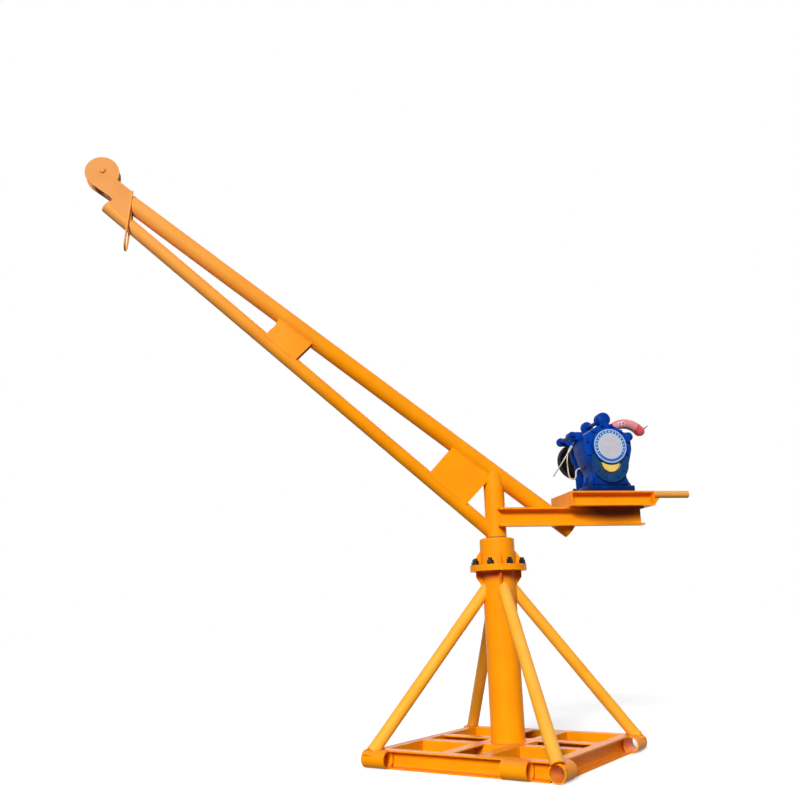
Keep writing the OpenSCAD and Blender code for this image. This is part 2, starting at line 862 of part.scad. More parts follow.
// Curved hand control that rests on the gearbox and over its lug
module pendant() {
    steps = 26;
    length = pendant_bend * (pendant_to - pendant_from) * PI / 180;
    shares = [for (i = [0 : steps]) (1 - cos(180 * i / steps)) / 2];
    color([0.92, 0.35, 0.35]) difference() {
        sweep_tube(
            [for (t = shares) pendant_point(pendant_from + t * (pendant_to - pendant_from))],
            [for (t = shares) max(2, round_end(t * length, length,
                pendant_r[0] + t * (pendant_r[1] - pendant_r[0])))], 16);
        at_winch() translate([0, gearbox_back, 0]) rotate([90, 0, 0])
            linear_extrude(gearbox_depth) offset(delta = seat_gap) gearbox_outline();
    }
}

module pendant_stub() {
    angle = 37;
    out = pendant_bend + pendant_r[0] - 0.8;
    color("gray") translate(pendant_centre + out * [cos(angle), 0, sin(angle)])
        rotate([0, 90 - angle, 0]) cylinder(h = 26, r = 3, $fn = 24);
}

// ----------------------------------------------------------------------- lead
// Route from the gland, measured from the drum's axis at the gearbox's back
lead_route = [
    [-106, -47, -88.7], [-112, -47, -88.9], [-120, -47, -92], [-126, -47, -99],
    [-128.2, -47.5, -109], [-129.5, -48.5, -122], [-136, -50, -133.5], [-147.5, -52, -138],
    [-159.5, -54, -132.5], [-166, -56, -118], [-169.5, -59, -88], [-170.5, -61, -56],
    [-166.5, -63.5, -26], [-161, -68, -6], [-157.5, -78, 5], [-157, -91, 6],
    [-161.5, -101.5, -3], [-177, -106, -22], [-214, -107, -74], [-258, -107, -134]
];

// A smooth curve through the route, by Catmull and Rom's rule
function spline_point(p, i, t) =
    let (n = len(p) - 1, a = p[max(i - 1, 0)], b = p[i], c = p[min(i + 1, n)],
        d = p[min(i + 2, n)])
    0.5 * (2 * b + (c - a) * t + (2 * a - 5 * b + 4 * c - d) * t * t
        + (3 * b - a - 3 * c + d) * t * t * t);
function smooth(p, steps) = concat(
    [for (i = [0 : len(p) - 2], s = [0 : steps - 1]) spline_point(p, i, s / steps)],
    [p[len(p) - 1]]);
function unit(v) = v / norm(v);
function heading(p, i) = unit(p[min(i + 1, len(p) - 1)] - p[max(i - 1, 0)]);

// Closed tube along a path, with the radius given at each point of the path
module sweep_tube(path, radii, sides) {
    rings = [for (i = [0 : len(path) - 1])
        let (d = heading(path, i), u = unit(cross(d, [0, 1, 0])), v = cross(d, u))
        for (k = [0 : sides - 1])
            path[i] + radii[i] * (cos(360 * k / sides) * u + sin(360 * k / sides) * v)];
    last = len(path) - 1;
    faces = concat(
        [[for (k = [sides - 1 : -1 : 0]) k]],
        [for (i = [0 : last - 1], k = [0 : sides - 1])
            [i * sides + k, i * sides + (k + 1) % sides, (i + 1) * sides + (k + 1) % sides,
                (i + 1) * sides + k]],
        [[for (k = [0 : sides - 1]) last * sides + k]]);
    polyhedron(rings, faces, convexity = 6);
}

// Strain relief on the gearbox's flank
module lead_gland() {
    exit = lead_route[0];
    color("black") at_winch() translate([0, gearbox_back, 0]) difference() {
        translate([0, exit[1], exit[2]]) rod_x(exit[0] + 2 * seat_gap, -74, 8);
        translate([0, 1, 0]) rotate([90, 0, 0])
            linear_extrude(gearbox_depth + 2) gearbox_outline();
    }
}

module lead() {
    path = smooth(lead_route, 2);
    color([0.95, 0.85, 0.75]) at_winch() translate([0, gearbox_back, 0])
        sweep_tube(path, [for (p = path) cord_d / 2], 8);
}

side_channel_front_left();
side_channel_front_right();
side_channel_back_right();
side_channel_back_left();
cross_angles();
tie_angles();
sockets_front_left();
sockets_front_right();
sockets_back_right();
column();
struts();
column_flange();
column_ribs();
hub();
hub_ribs();
mast();
top_chord();
bottom_chord();
mid_gussets();
mast_gussets();
head_plates();
head_spacer();
guard_loop();
sheave_pin();
sheave();
beam();
bracket_end_near();
bracket_end_far();
bracket_side_front();
bracket_side_back();
push_handle();
handle_gusset();
gearbox_foot();
gearbox();
gearbox_cover();
badge();
bearing_cover();
bearing_cap();
drum_shaft();
drum();
drum_rope();
motor_foot();
motor_plate();
motor();
fan_cover();
capacitor();
tie_rods();
pendant();
pendant_stub();
lead_gland();
lead();
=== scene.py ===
"""Portable slewing mini crane with an electric drum winch, dressed for a studio render.

Every length is in metres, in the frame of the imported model: the origin is on the floor
under the column, +Z is up, the boom reaches towards -X and the winch stands towards +X.
"""

import logging
import math
from collections.abc import Iterable, Sequence
from dataclasses import dataclass
from enum import Enum

import bmesh
import bpy
from mathutils import Matrix, Vector


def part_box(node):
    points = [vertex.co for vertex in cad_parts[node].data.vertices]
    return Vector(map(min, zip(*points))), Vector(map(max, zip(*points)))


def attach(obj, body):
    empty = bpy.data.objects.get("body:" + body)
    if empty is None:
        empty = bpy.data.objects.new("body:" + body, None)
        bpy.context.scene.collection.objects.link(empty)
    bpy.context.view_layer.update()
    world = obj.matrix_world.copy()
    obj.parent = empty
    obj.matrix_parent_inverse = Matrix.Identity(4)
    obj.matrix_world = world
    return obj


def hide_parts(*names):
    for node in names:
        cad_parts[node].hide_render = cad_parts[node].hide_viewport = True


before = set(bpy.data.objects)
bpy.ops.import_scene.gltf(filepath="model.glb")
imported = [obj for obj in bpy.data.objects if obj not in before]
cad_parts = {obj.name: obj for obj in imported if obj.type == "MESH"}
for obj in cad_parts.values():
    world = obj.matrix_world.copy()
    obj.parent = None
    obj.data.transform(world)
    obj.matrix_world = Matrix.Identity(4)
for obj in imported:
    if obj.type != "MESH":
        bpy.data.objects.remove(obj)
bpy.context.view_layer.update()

log = logging.getLogger("crane")

MM = 0.001
TAU = math.tau
# The least angle between two faces whose edge is rounded, in radians
SHARP = 0.45
ORIGIN = Vector((0, 0, 0))
UP = Vector((0, 0, 1))
# Turns a shape made along Z so that it stands along -Y, with its own Y upwards
FRONT = Matrix(((1, 0, 0, 0), (0, 0, -1, 0), (0, 1, 0, 0), (0, 0, 0, 1)))

Pair = tuple[float, float]
Triple = tuple[float, float, float]
Socket = bpy.types.NodeSocket


class Body(Enum):
    """The bodies that move against each other."""

    BASE = "base"
    BOOM = "slewing_boom"
    SHEAVE = "sheave"
    DRUM = "drum"


class Slot(Enum):
    """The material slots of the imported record."""

    FRAME = "frame_paint"
    HEAD = "head_paint"
    WINCH = "winch_paint"
    MOTOR = "motor_paint"
    BADGE = "badge_plate"
    CAP = "cap_brass"
    STEEL = "bright_steel"
    ROPE = "rope_steel"
    BLACK = "black_plastic"
    PENDANT = "pendant_plastic"
    LEAD = "lead_sheath"


# ---------------------------------------------------------------------- materials
def linear(code: str) -> tuple[float, float, float, float]:
    """Turns an sRGB hex colour into a linear one.

    Args:
        code: Six hex digits, with or without a leading #.

    Returns:
        Red, green, blue and an alpha of one.
    """
    parts = [int(code.lstrip("#")[i : i + 2], 16) / 255 for i in (0, 2, 4)]
    r, g, b = (p / 12.92 if p <= 0.04045 else ((p + 0.055) / 1.055) ** 2.4 for p in parts)
    return (r, g, b, 1.0)


class Graph:
    """A node tree, with one short call for each kind of node that the finishes share."""

    def __init__(self, owner: bpy.types.Material | bpy.types.World) -> None:
        """Starts with the owner's tree, emptied.

        Args:
            owner: What the tree belongs to.
        """
        owner.use_nodes = True
        self.owner = owner
        self.tree = owner.node_tree
        self.tree.nodes.clear()

    def add(self, kind: str, values: dict, **settings: object) -> bpy.types.NodeOutputs:
        """Adds one node.

        Args:
            kind: The node's type name, without the leading "ShaderNode".
            values: What each input gets, by name or index: a constant, a hex colour, or
                a socket to link.
            settings: Properties of the node itself.

        Returns:
            The new node's outputs.
        """
        node = self.tree.nodes.new("ShaderNode" + kind)
        for name, value in settings.items():
            setattr(node, name, value)
        for key, value in values.items():
            if isinstance(value, bpy.types.NodeSocket):
                self.tree.links.new(value, node.inputs[key])
            else:
                node.inputs[key].default_value = linear(value) if isinstance(value, str) else value
        return node.outputs

    def place(self, centre: Triple | None = None) -> Socket:
        """Returns the point on the object, measured from its origin or from a centre."""
        spot = self.add("TexCoord", {})["Object"]
        return self.add("Mapping", {0: spot, 1: [-c for c in centre]})[0] if centre else spot

    def part(self, vector: Socket, axis: str) -> Socket:
        """Returns one component of a vector."""
        return self.add("SeparateXYZ", {0: vector})[axis]

    def length(self, vector: Socket) -> Socket:
        """Returns the length of a vector."""
        return self.add("VectorMath", {0: vector}, operation="LENGTH")["Value"]

    def math(self, operation: str, *values: Socket | float) -> Socket:
        """Returns the result of a sum on up to three values."""
        return self.add("Math", dict(enumerate(values)), operation=operation)[0]

    def noise(self, place: Socket, scale: float, detail: float, roughness: float = 0.5) -> Socket:
        """Returns soft noise; its blotches are about 1 / scale metres across."""
        values = {"Vector": place, "Scale": scale, "Detail": detail, "Roughness": roughness}
        return self.add("TexNoise", values)[0]

    def ramp(self, value: Socket, low: float, high: float, start: float = 0.0, end: float = 1.0) -> Socket:
        """Maps the range from low to high onto start to end, and holds it beyond both."""
        return self.add("MapRange", {0: value, 1: low, 2: high, 3: start, 4: end})[0]

    def mix(self, share: Socket, first: Socket | str, second: Socket | str) -> Socket:
        """Mixes two colours; a share of one is all of the second."""
        return self.add("Mix", {0: share, 6: first, 7: second}, data_type="RGBA")[2]

    def bump(self, strength: float, depth_mm: float, height: Socket) -> Socket:
        """Returns a normal that follows a height, over a depth in millimetres."""
        return self.add("Bump", {"Strength": strength, "Distance": depth_mm * MM, "Height": height})[0]

    def direct(self) -> Socket:
        """Tells the rays that see a surface from those that only carry its light.

        Returns:
            One on rays from the camera, a mirror or glass, and nought on the others.
        """
        rays = self.add("LightPath", {})
        sharp = self.math("MAXIMUM", rays["Is Camera Ray"], rays["Is Glossy Ray"])
        return self.math("MAXIMUM", sharp, rays["Is Transmission Ray"])

    def close(
        self, colour: Socket, roughness: Socket | float, normal: Socket, **more: float
    ) -> bpy.types.Material:
        """Ends the tree in a principled shader.

        Args:
            colour: The base colour.
            roughness: The roughness.
            normal: The bumped normal.
            more: Constants for other inputs, with _ for each space of the input's name.

        Returns:
            The finished material.
        """
        values = {name.replace("_", " "): value for name, value in more.items()}
        values |= {"Base Color": colour, "Roughness": roughness, "Normal": normal}
        self.add("OutputMaterial", {"Surface": self.add("BsdfPrincipled", values)[0]})
        return self.owner


@dataclass(frozen=True)
class SprayedEnamel:
    """Alkyd enamel sprayed on rolled steel: an even gloss with orange peel, and a pale
    painted sheen on what faces up, which turns the upper faces towards pink."""

    name: str
    colour: str
    shade: str
    # The colour of the painted sheen on faces that point up, and its largest share
    dust_and_sheen: str
    sheen_share: float = 0.55
    roughness: float = 0.36
    # Where along X, in metres, the coat starts to thin, and where it is thinnest
    thin_from: float = -0.7
    thin_to: float = -1.8
    thin_share: float = 0.0
    primer: str = "#FFC27E"
    # A painted shadow where shade falls under something: the patch's middle and its half sizes, in metres
    shadow_at: Triple = (0.0, 0.0, 0.0)
    shadow_size: Triple | None = None
    stain_and_shadow: str = "#5A1A06"
    shadow_share: float = 0.9

    def build(self) -> bpy.types.Material:
        """Builds the material.

        Returns:
            The coat with its thin end, its painted shadow patch, its painted sheen and its orange peel.
        """
        graph = Graph(bpy.data.materials.new(self.name))
        place = graph.place()
        # Film thickness changes over a hand's width of spraying, about 120 mm
        share = graph.ramp(graph.noise(place, 8.0, 3.0, 0.55), 0.35, 0.7, 0.0, 0.8)
        coat = graph.mix(share, self.colour, self.shade)
        if self.thin_share:
            # The far end gets fewer passes of the gun, and the pale primer shows through
            bare = graph.ramp(graph.part(place, "X"), self.thin_from, self.thin_to, 0.0, self.thin_share)
            coat = graph.mix(bare, coat, self.primer)
        if self.shadow_size:
            # Painted shadow: darkest over the inner half of the patch, gone at its edge
            shift = [-middle / size for middle, size in zip(self.shadow_at, self.shadow_size)]
            spread = [1 / size for size in self.shadow_size]
            spot = graph.add("Mapping", {0: place, 1: shift, 3: spread})[0]
            shadowed = graph.ramp(graph.length(spot), 0.5, 1.0, self.shadow_share, 0.0)
            coat = graph.mix(shadowed, coat, self.stain_and_shadow)
        # Painted sheen: faces that point up are tinted paler, towards pink, patchy at about 40 mm
        facing = graph.part(graph.add("NewGeometry", {})["Normal"], "Z")
        patch = graph.noise(place, 26.0, 4.0)
        lift = graph.ramp(facing, 0.35, 0.95, 0.0, self.sheen_share)
        amount = graph.math("MULTIPLY", lift, graph.ramp(patch, 0.3, 0.7, 0.75, 1.0))
        rough = graph.ramp(patch, 0.25, 0.75, self.roughness - 0.05, self.roughness + 0.07)
        # Orange peel is about 2 mm across; it is drawn at 5 mm so that it shows
        peel = graph.bump(0.14, 0.4, graph.noise(place, 200.0, 2.0))
        return graph.close(graph.mix(amount, coat, self.dust_and_sheen), rough, peel, IOR=1.5, Specular_IOR_Level=0.07)


@dataclass(frozen=True)
class CastEnamel:
    """Gloss enamel brushed over sand-cast iron: the casting's grain shows through the
    film, and the film is darker where it is thick."""

    name: str
    colour: str
    shade: str
    roughness: float = 0.36
    grain_mm: float = 4.0
    gloss: float = 0.1
    # Darker towards the bottom, up to this height in metres
    darkening_top: float = 0.0
    foot_tone: str = "#070E2A"

    def build(self) -> bpy.types.Material:
        """Builds the material.

        Returns:
            The film, darker towards the bottom, and the casting's grain.
        """
        graph = Graph(bpy.data.materials.new(self.name))
        place = graph.place()
        cloud = graph.noise(place, 22.0, 4.0)
        film = graph.mix(graph.ramp(cloud, 0.38, 0.66), self.colour, self.shade)
        if self.darkening_top:
            # Darker towards the bottom, with a ragged edge
            edge = graph.math("MULTIPLY_ADD", cloud, -0.03, graph.part(place, "Z"))
            foot_share = graph.ramp(edge, self.darkening_top - 0.05, self.darkening_top, 0.75, 0.0)
            film = graph.mix(foot_share, film, self.foot_tone)
        # Sand grain under the film, with a few larger pits from the mould
        grain = graph.noise(place, 1 / (self.grain_mm * MM), 3.0, 0.6)
        pits = graph.add("TexVoronoi", {"Vector": place, "Scale": 90.0}, feature="SMOOTH_F1")[0]
        depth = graph.math("MULTIPLY_ADD", pits, 0.35, grain)
        rough = graph.ramp(grain, 0.3, 0.7, self.roughness - 0.06, self.roughness + 0.1)
        return graph.close(film, rough, graph.bump(0.3, 0.8, depth), IOR=1.5, Specular_IOR_Level=self.gloss)


@dataclass(frozen=True)
class TurnedSteel:
    """Bright mild steel turned in a lathe: fine rings about its axis and an oily gloss."""

    name: str
    centre: Triple
    colour: str = "#C6C8CC"
    roughness: float = 0.3
    stained: str = "#8E8C88"

    def build(self) -> bpy.types.Material:
        """Builds the material.

        Returns:
            The stained steel with its feed marks.
        """
        graph = Graph(bpy.data.materials.new(self.name))
        place = graph.place(self.centre)
        # Feed marks are 0.2 mm apart; they are drawn at 1.5 mm so that they show
        values = {"Vector": place, "Scale": 105.0, "Distortion": 0.6, "Detail": 1.0}
        rings = graph.add("TexWave", values, wave_type="RINGS", rings_direction="Y")[1]
        stain_and_shadow = graph.noise(place, 40.0, 4.0)
        rough = graph.ramp(stain_and_shadow, 0.3, 0.7, self.roughness - 0.08, self.roughness + 0.14)
        tone = graph.mix(stain_and_shadow, self.colour, self.stained)
        return graph.close(tone, rough, graph.bump(0.18, 0.15, rings), Metallic=1.0)


@dataclass(frozen=True)
class BlackOxide:
    """Black-oxide steel of bolts and nuts: a thin dark film with a dull sheen, rubbed
    brighter in patches."""

    name: str = "black oxide steel"
    colour: str = "#17161A"
    rubbed: str = "#4A484B"

    def build(self) -> bpy.types.Material:
        """Builds the material.

        Returns:
            The dark film, rubbed in patches.
        """
        graph = Graph(bpy.data.materials.new(self.name))
        patch = graph.noise(graph.place(), 260.0, 3.0)
        tone = graph.mix(graph.ramp(patch, 0.52, 0.75, 0.0, 0.8), self.colour, self.rubbed)
        rough = graph.ramp(patch, 0.3, 0.7, 0.34, 0.52)
        return graph.close(tone, rough, graph.bump(0.2, 0.1, patch), Metallic=0.75)


@dataclass(frozen=True)
class MouldedPlastic:
    """Injection-moulded ABS or PVC: a close spark-eroded grain and a soft gloss."""

    name: str
    colour: str
    shade: str
    roughness: float = 0.38

    def build(self) -> bpy.types.Material:
        """Builds the material.

        Returns:
            The cloudy colour with the mould's grain.
        """
        graph = Graph(bpy.data.materials.new(self.name))
        place = graph.place()
        cloud = graph.noise(place, 35.0, 3.0)
        # The mould's grain is 0.3 mm; it is drawn at 1.2 mm so that it shows
        grain = graph.bump(0.12, 0.15, graph.noise(place, 830.0, 2.0))
        rough = graph.ramp(cloud, 0.3, 0.7, self.roughness - 0.05, self.roughness + 0.08)
        return graph.close(graph.mix(cloud, self.colour, self.shade), rough, grain, IOR=1.53)


@dataclass(frozen=True)
class LeadSheath:
    """Extruded PVC sheath: an even soft gloss, cream where it is clean and grey where
    its free end has lain in the dust."""

    name: str
    clean_to: float
    dusty_from: float
    colour: str = "#F0D9C4"
    soiled: str = "#8B8784"

    def build(self) -> bpy.types.Material:
        """Builds the material.

        Returns:
            The sheath with its dusty end and the die's lines.
        """
        graph = Graph(bpy.data.materials.new(self.name))
        place = graph.place()
        far = graph.part(place, "X")
        edge = graph.math("MULTIPLY_ADD", graph.noise(place, 60.0, 3.0), 0.03, far)
        dust_and_sheen = graph.ramp(edge, self.clean_to, self.dusty_from, 0.12, 0.9)
        tone = graph.mix(dust_and_sheen, self.colour, self.soiled)
        # The die leaves lines 0.2 mm apart; they are drawn at 1 mm so that they show
        lines = graph.bump(0.1, 0.1, graph.noise(place, 1000.0, 1.0))
        return graph.close(tone, 0.42, lines, IOR=1.53, Specular_IOR_Level=0.3)


@dataclass(frozen=True)
class PrintedPlate:
    """A round anodised aluminium plate, screen printed with plain rings: a satin face
    with faint brushing, and a dark blue band between two pale ones."""

    name: str
    centre: Triple
    face_r: float = 54 * MM
    band_in: float = 58 * MM
    band_out: float = 70 * MM
    edge: float = 0.4 * MM
    dashes: int = 26
    # Half the height of a dash, and how far below the plate's middle the dashes stop
    dash: float = 3 * MM
    dash_low: float = -35 * MM

    def build(self) -> bpy.types.Material:
        """Builds the material.

        Returns:
            The worn face with its printed rings and dashes, and the brushing.
        """
        graph = Graph(bpy.data.materials.new(self.name))
        place = graph.place(self.centre)
        flat = graph.add("VectorMath", {0: place, 1: (1, 0, 1)}, operation="MULTIPLY")[0]
        radius = graph.length(flat)
        # Rubbed print: soft grey and pink blotches about 35 mm across, no marks
        blotch = graph.ramp(graph.noise(place, 30.0, 2.0), 0.35, 0.75, 0.0, 0.5)
        tone = graph.mix(blotch, "#B9B7C1", "#A69DA9")
        rings = ((self.face_r, "#9CC4E2"), (self.band_in, "#1B4C96"), (self.band_out, "#86AEDB"))
        for line, colour in rings:
            values = {0: radius, 1: line - self.edge, 2: line + self.edge, 3: 0.0, 4: 1.0}
            mask = graph.add("MapRange", values, interpolation_type="SMOOTHSTEP")[0]
            tone = graph.mix(mask, tone, colour)
        # A ring of short pale dashes stands on the band, with none at its foot
        parts = graph.add("SeparateXYZ", {0: place})
        turn = graph.math("ARCTAN2", parts["X"], parts["Z"])
        comb = graph.math("COSINE", graph.math("MULTIPLY", turn, float(self.dashes)))
        tooth = graph.ramp(comb, 0.25, 0.55, 0.0, 0.85)
        off = graph.math("ABSOLUTE", graph.math("SUBTRACT", radius, (self.band_in + self.band_out) / 2))
        lane = graph.ramp(off, self.dash - self.edge, self.dash + self.edge, 1.0, 0.0)
        upper = graph.ramp(parts["Z"], self.dash_low - 1 * MM, self.dash_low + 1 * MM)
        print_share = graph.math("MULTIPLY", graph.math("MULTIPLY", tooth, lane), upper)
        tone = graph.mix(print_share, tone, "#C6D8EA")
        brushed = graph.add("Mapping", {0: place, 3: (90, 1, 1400)})[0]
        lines = graph.bump(0.08, 0.1, graph.noise(brushed, 1.0, 2.0))
        return graph.close(tone, 0.3, lines, Metallic=0.25, Coat_Weight=0.4, Coat_Roughness=0.15)


@dataclass(frozen=True)
class GreasedRope:
    """Galvanised wire rope under old grease: near-black valleys between strands that
    cross the rope at a slant, with brown and dull steel on their crowns."""

    name: str
    axis: Triple
    lay_r: float
    strand_mm: float = 3.2
    slant: float = 0.9

    def build(self) -> bpy.types.Material:
        """Builds the material.

        Returns:
            The strands with the grease between them.
        """
        graph = Graph(bpy.data.materials.new(self.name))
        place = graph.place(self.axis)
        parts = graph.add("SeparateXYZ", {0: place})
        around = graph.math("MULTIPLY", graph.math("ARCTAN2", parts["Z"], parts["X"]), self.lay_r)
        across = graph.math("MULTIPLY_ADD", parts["Y"], self.slant, around)
        crown = graph.math("SINE", graph.math("MULTIPLY", across, TAU / (self.strand_mm * MM)))
        shown = graph.ramp(crown, -0.2, 1.0, 0.0, 0.7)
        amount = graph.math("MULTIPLY", shown, graph.noise(place, 120.0, 4.0))
        tone = graph.mix(amount, "#17110F", "#7A6A5C")
        return graph.close(tone, 0.46, graph.bump(0.7, 0.6, crown), Metallic=0.45)


@dataclass(frozen=True)
class FloorPaper:
    """Matt white background paper. It keeps the object's shadow, shows white to the
    camera, and throws little light back up at the object."""

    name: str = "white background paper"
    seen: str = "#FFFFFF"
    thrown: str = "#57504A"
    lift: float = 0.42

    def build(self) -> bpy.types.Material:
        """Builds the material.

        Returns:
            The paper with the glow that lifts it to white.
        """
        graph = Graph(bpy.data.materials.new(self.name))
        direct = graph.direct()
        paper = graph.add("BsdfDiffuse", {"Color": graph.mix(direct, self.thrown, self.seen)})[0]
        strength = graph.ramp(direct, 0.0, 1.0, 0.0, self.lift)
        glow = graph.add("Emission", {"Color": self.seen, "Strength": strength})[0]
        graph.add("OutputMaterial", {"Surface": graph.add("AddShader", {0: paper, 1: glow})[0]})
        return graph.owner


@dataclass
class Finishes:
    """Every finish on the crane, built once and shared."""

    drum_axis: Vector
    sheave_axis: Vector
    badge_centre: Vector
    rope_lay: float = 69 * MM
    # The painted shadow on the beam's web under the bracket: its place from the drum's
    # axis along X and from the beam's top, and its half sizes
    web_spot: Pair = (30 * MM, -12 * MM)
    web_shadow: Triple = (0.25, 0.1, 0.078)
    # Half sizes of the painted shadow ring on the column under its flange
    ring_shadow: Triple = (0.4, 0.4, 0.048)
    # Where along X, from the drum's axis, the lead starts to soil and where it is grey
    lead_clean: float = -175 * MM
    lead_dusty: float = -235 * MM

    def __post_init__(self) -> None:
        """Builds each material."""
        # The third colour is the painted sheen on faces that point up
        orange = ("#FF9F09", "#F89209", "#F99C58")
        beam_low, beam_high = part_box("beam")
        web = (self.drum_axis.x + self.web_spot[0], beam_low.y, beam_high.z + self.web_spot[1])
        ring = (0.0, 0.0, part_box("column_flange")[0].z)
        axis = tuple(self.drum_axis)
        self.frame = SprayedEnamel("orange enamel on rolled steel", *orange[:2], "#EC8843").build()
        self.boom = SprayedEnamel("orange enamel on long tube", *orange, thin_share=0.5).build()
        # The beam and the column carry a painted shadow: on the beam's web under the bracket, and on the
        # column under its flange
        self.beam = SprayedEnamel(
            "orange enamel under the winch", *orange, shadow_at=web, shadow_size=self.web_shadow
        ).build()
        self.column = SprayedEnamel(
            "orange enamel under the flange",
            *orange,
            shadow_at=ring,
            shadow_size=self.ring_shadow,
            stain_and_shadow="#D2571C",
        ).build()
        self.head = SprayedEnamel("peach enamel on plate steel", "#F2A75A", "#ED9C50", "#FAB284").build()
        self.strut = SprayedEnamel("amber enamel on tube", "#FFB638", "#F9A824", "#FDB070").build()
        self.handle = SprayedEnamel("amber enamel worn by hands", "#E8A24C", "#D99442", "#EDAA68").build()
        self.winch = CastEnamel(
            "blue enamel on cast iron", "#0342A8", "#023188", gloss=0.05, darkening_top=1.13
        ).build()
        self.winch_shade = CastEnamel("slate blue enamel on cast iron", "#12457E", "#0C3462").build()
        self.motor = CastEnamel(
            "charcoal enamel on die-cast aluminium",
            "#1D1C22",
            "#121117",
            roughness=0.7,
            grain_mm=3.0,
            gloss=0.06,
        ).build()
        self.cap = CastEnamel("cream enamel on pressed steel", "#F2D67C", "#E4C064", 0.38, 3.0).build()
        self.badge = PrintedPlate("printed aluminium plate", tuple(self.badge_centre)).build()
        self.oxide = BlackOxide().build()
        self.shaft = TurnedSteel("turned steel shaft", axis).build()
        # The sheave's steel is darkened as painted shade, for the shade between the head plates
        self.sheave = TurnedSteel("turned steel sheave", tuple(self.sheave_axis), "#5E5852", 0.5).build()
        self.rope = GreasedRope("greased wire rope", axis, self.rope_lay).build()
        self.black = MouldedPlastic("black moulded nylon", "#1B1B1E", "#121214").build()
        self.pendant = MouldedPlastic("salmon moulded ABS", "#DF8F90", "#CC787C", 0.3).build()
        self.pendant_end = MouldedPlastic("red moulded ABS", "#D8454F", "#C63644", 0.3).build()
        # The pad's pale colour is partly a painted highlight on the handle's front
        self.pendant_pad_highlight = MouldedPlastic("pale rose moulded ABS", "#EBDCE2", "#D9C6CF", 0.3).build()
        clean, dusty = axis[0] + self.lead_clean, axis[0] + self.lead_dusty
        self.lead = LeadSheath("cream PVC sheath", clean, dusty).build()


# ------------------------------------------------------------------------- shapes
def mm(pairs: Iterable[Pair]) -> list[Pair]:
    """Turns pairs of millimetres into pairs of metres."""
    return [(a * MM, b * MM) for a, b in pairs]


def at(x: float, y: float, z: float) -> Matrix:
    """Returns the move to a point."""
    return Matrix.Translation((x, y, z))


def spin(turn: float, axis: str) -> Matrix:
    """Returns the turn by an angle in radians about an axis."""
    return Matrix.Rotation(turn, 4, axis)


def middle_of(name: str) -> Vector:
    """Returns the middle of a CAD node's box."""
    low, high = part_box(name)
    return (low + high) / 2


def along(start: Vector, end: Vector) -> Matrix:
    """Returns the placing whose own Z axis runs from start towards end."""
    turn = (end - start).to_track_quat("Z", "Y").to_matrix().to_4x4()
    return Matrix.Translation(start) @ turn


def soften(part: bmesh.types.BMesh, edges: list[bmesh.types.BMEdge], radius: float, segments: int) -> None:
    """Rounds edges of a shape.

    Args:
        part: The shape to work on.
        edges: The edges to round.
        radius: Width of the rounding.
        segments: Number of strips across it.
    """
    bmesh.ops.bevel(
        part,
        geom=edges,
        offset=radius,
        offset_type="OFFSET",
        segments=segments,
        profile=0.5,
        affect="EDGES",
        material=-1,
        clamp_overlap=True,
    )


def turned(profile: Sequence[Pair], segments: int = 64, closed: bool = False) -> bmesh.types.BMesh:
    """Turns a profile about the Z axis.

    Args:
        profile: Pairs of radius and height, from one end to the other.
        segments: Number of strips around.
        closed: Whether the profile's end joins its start, as in a ring.

    Returns:
        The turned shape.
    """
    part = bmesh.new()
    dots = [part.verts.new((r, 0, z)) for r, z in profile]
    lines = [part.edges.new(pair) for pair in zip(dots, dots[1:])]
    if closed:
        lines.append(part.edges.new((dots[-1], dots[0])))
    bmesh.ops.spin(
        part, geom=dots + lines, cent=(0, 0, 0), axis=(0, 0, 1), angle=TAU, steps=segments, use_merge=True
    )
    bmesh.ops.remove_doubles(part, verts=part.verts, dist=1e-6)
    bmesh.ops.recalc_face_normals(part, faces=part.faces)
    return part


def slab(outline: Sequence[Pair], height: float, radius: float = 0.0) -> bmesh.types.BMesh:
    """Makes a plate from its outline in X and Y, standing on Z = 0.

    Args:
        outline: The corners in order.
        height: The plate's thickness along Z.
        radius: Rounding of all its edges, or 0 for none.

    Returns:
        The plate.
    """
    part = bmesh.new()
    sheet = part.faces.new([part.verts.new((x, y, 0)) for x, y in outline])
    grown = bmesh.ops.extrude_face_region(part, geom=[sheet])["geom"]
    tops = [g for g in grown if isinstance(g, bmesh.types.BMVert)]
    bmesh.ops.translate(part, verts=tops, vec=(0, 0, height))
    bmesh.ops.recalc_face_normals(part, faces=part.faces)
    if radius:
        sharp = [e for e in part.edges if e.is_manifold and e.calc_face_angle(0.0) > SHARP]
        soften(part, sharp, radius, 3)
    return part


def block(x: float, y: float, z: float, radius: float = 0.0) -> bmesh.types.BMesh:
    """Makes a block of that size, centred in X and Y and standing on Z = 0."""
    return slab([(-x / 2, -y / 2), (x / 2, -y / 2), (x / 2, y / 2), (-x / 2, y / 2)], z, radius)


def rod(radius: float, length: float, edge: float, segments: int = 40) -> bmesh.types.BMesh:
    """Makes a round bar on Z = 0 with chamfered ends."""
    inner, top = radius - edge, length - edge
    return turned([(0, 0), (inner, 0), (radius, edge), (radius, top), (inner, length), (0, length)], segments)


def hex_head(across: float, height: float) -> bmesh.types.BMesh:
    """Makes a hexagon nut or bolt head on Z = 0, chamfered on its free side.

    Args:
        across: Width across the flats.
        height: Height of the head.

    Returns:
        The head.
    """
    part = bmesh.new()
    corner = across / math.sqrt(3)
    middle = at(0, 0, height / 2)
    bmesh.ops.create_cone(
        part, cap_ends=True, segments=6, radius1=corner, radius2=corner, depth=height, matrix=middle
    )
    free = [e for e in part.edges if all(v.co.z > height - 1e-6 for v in e.verts)]
    soften(part, free, across * 0.07, 2)
    return part


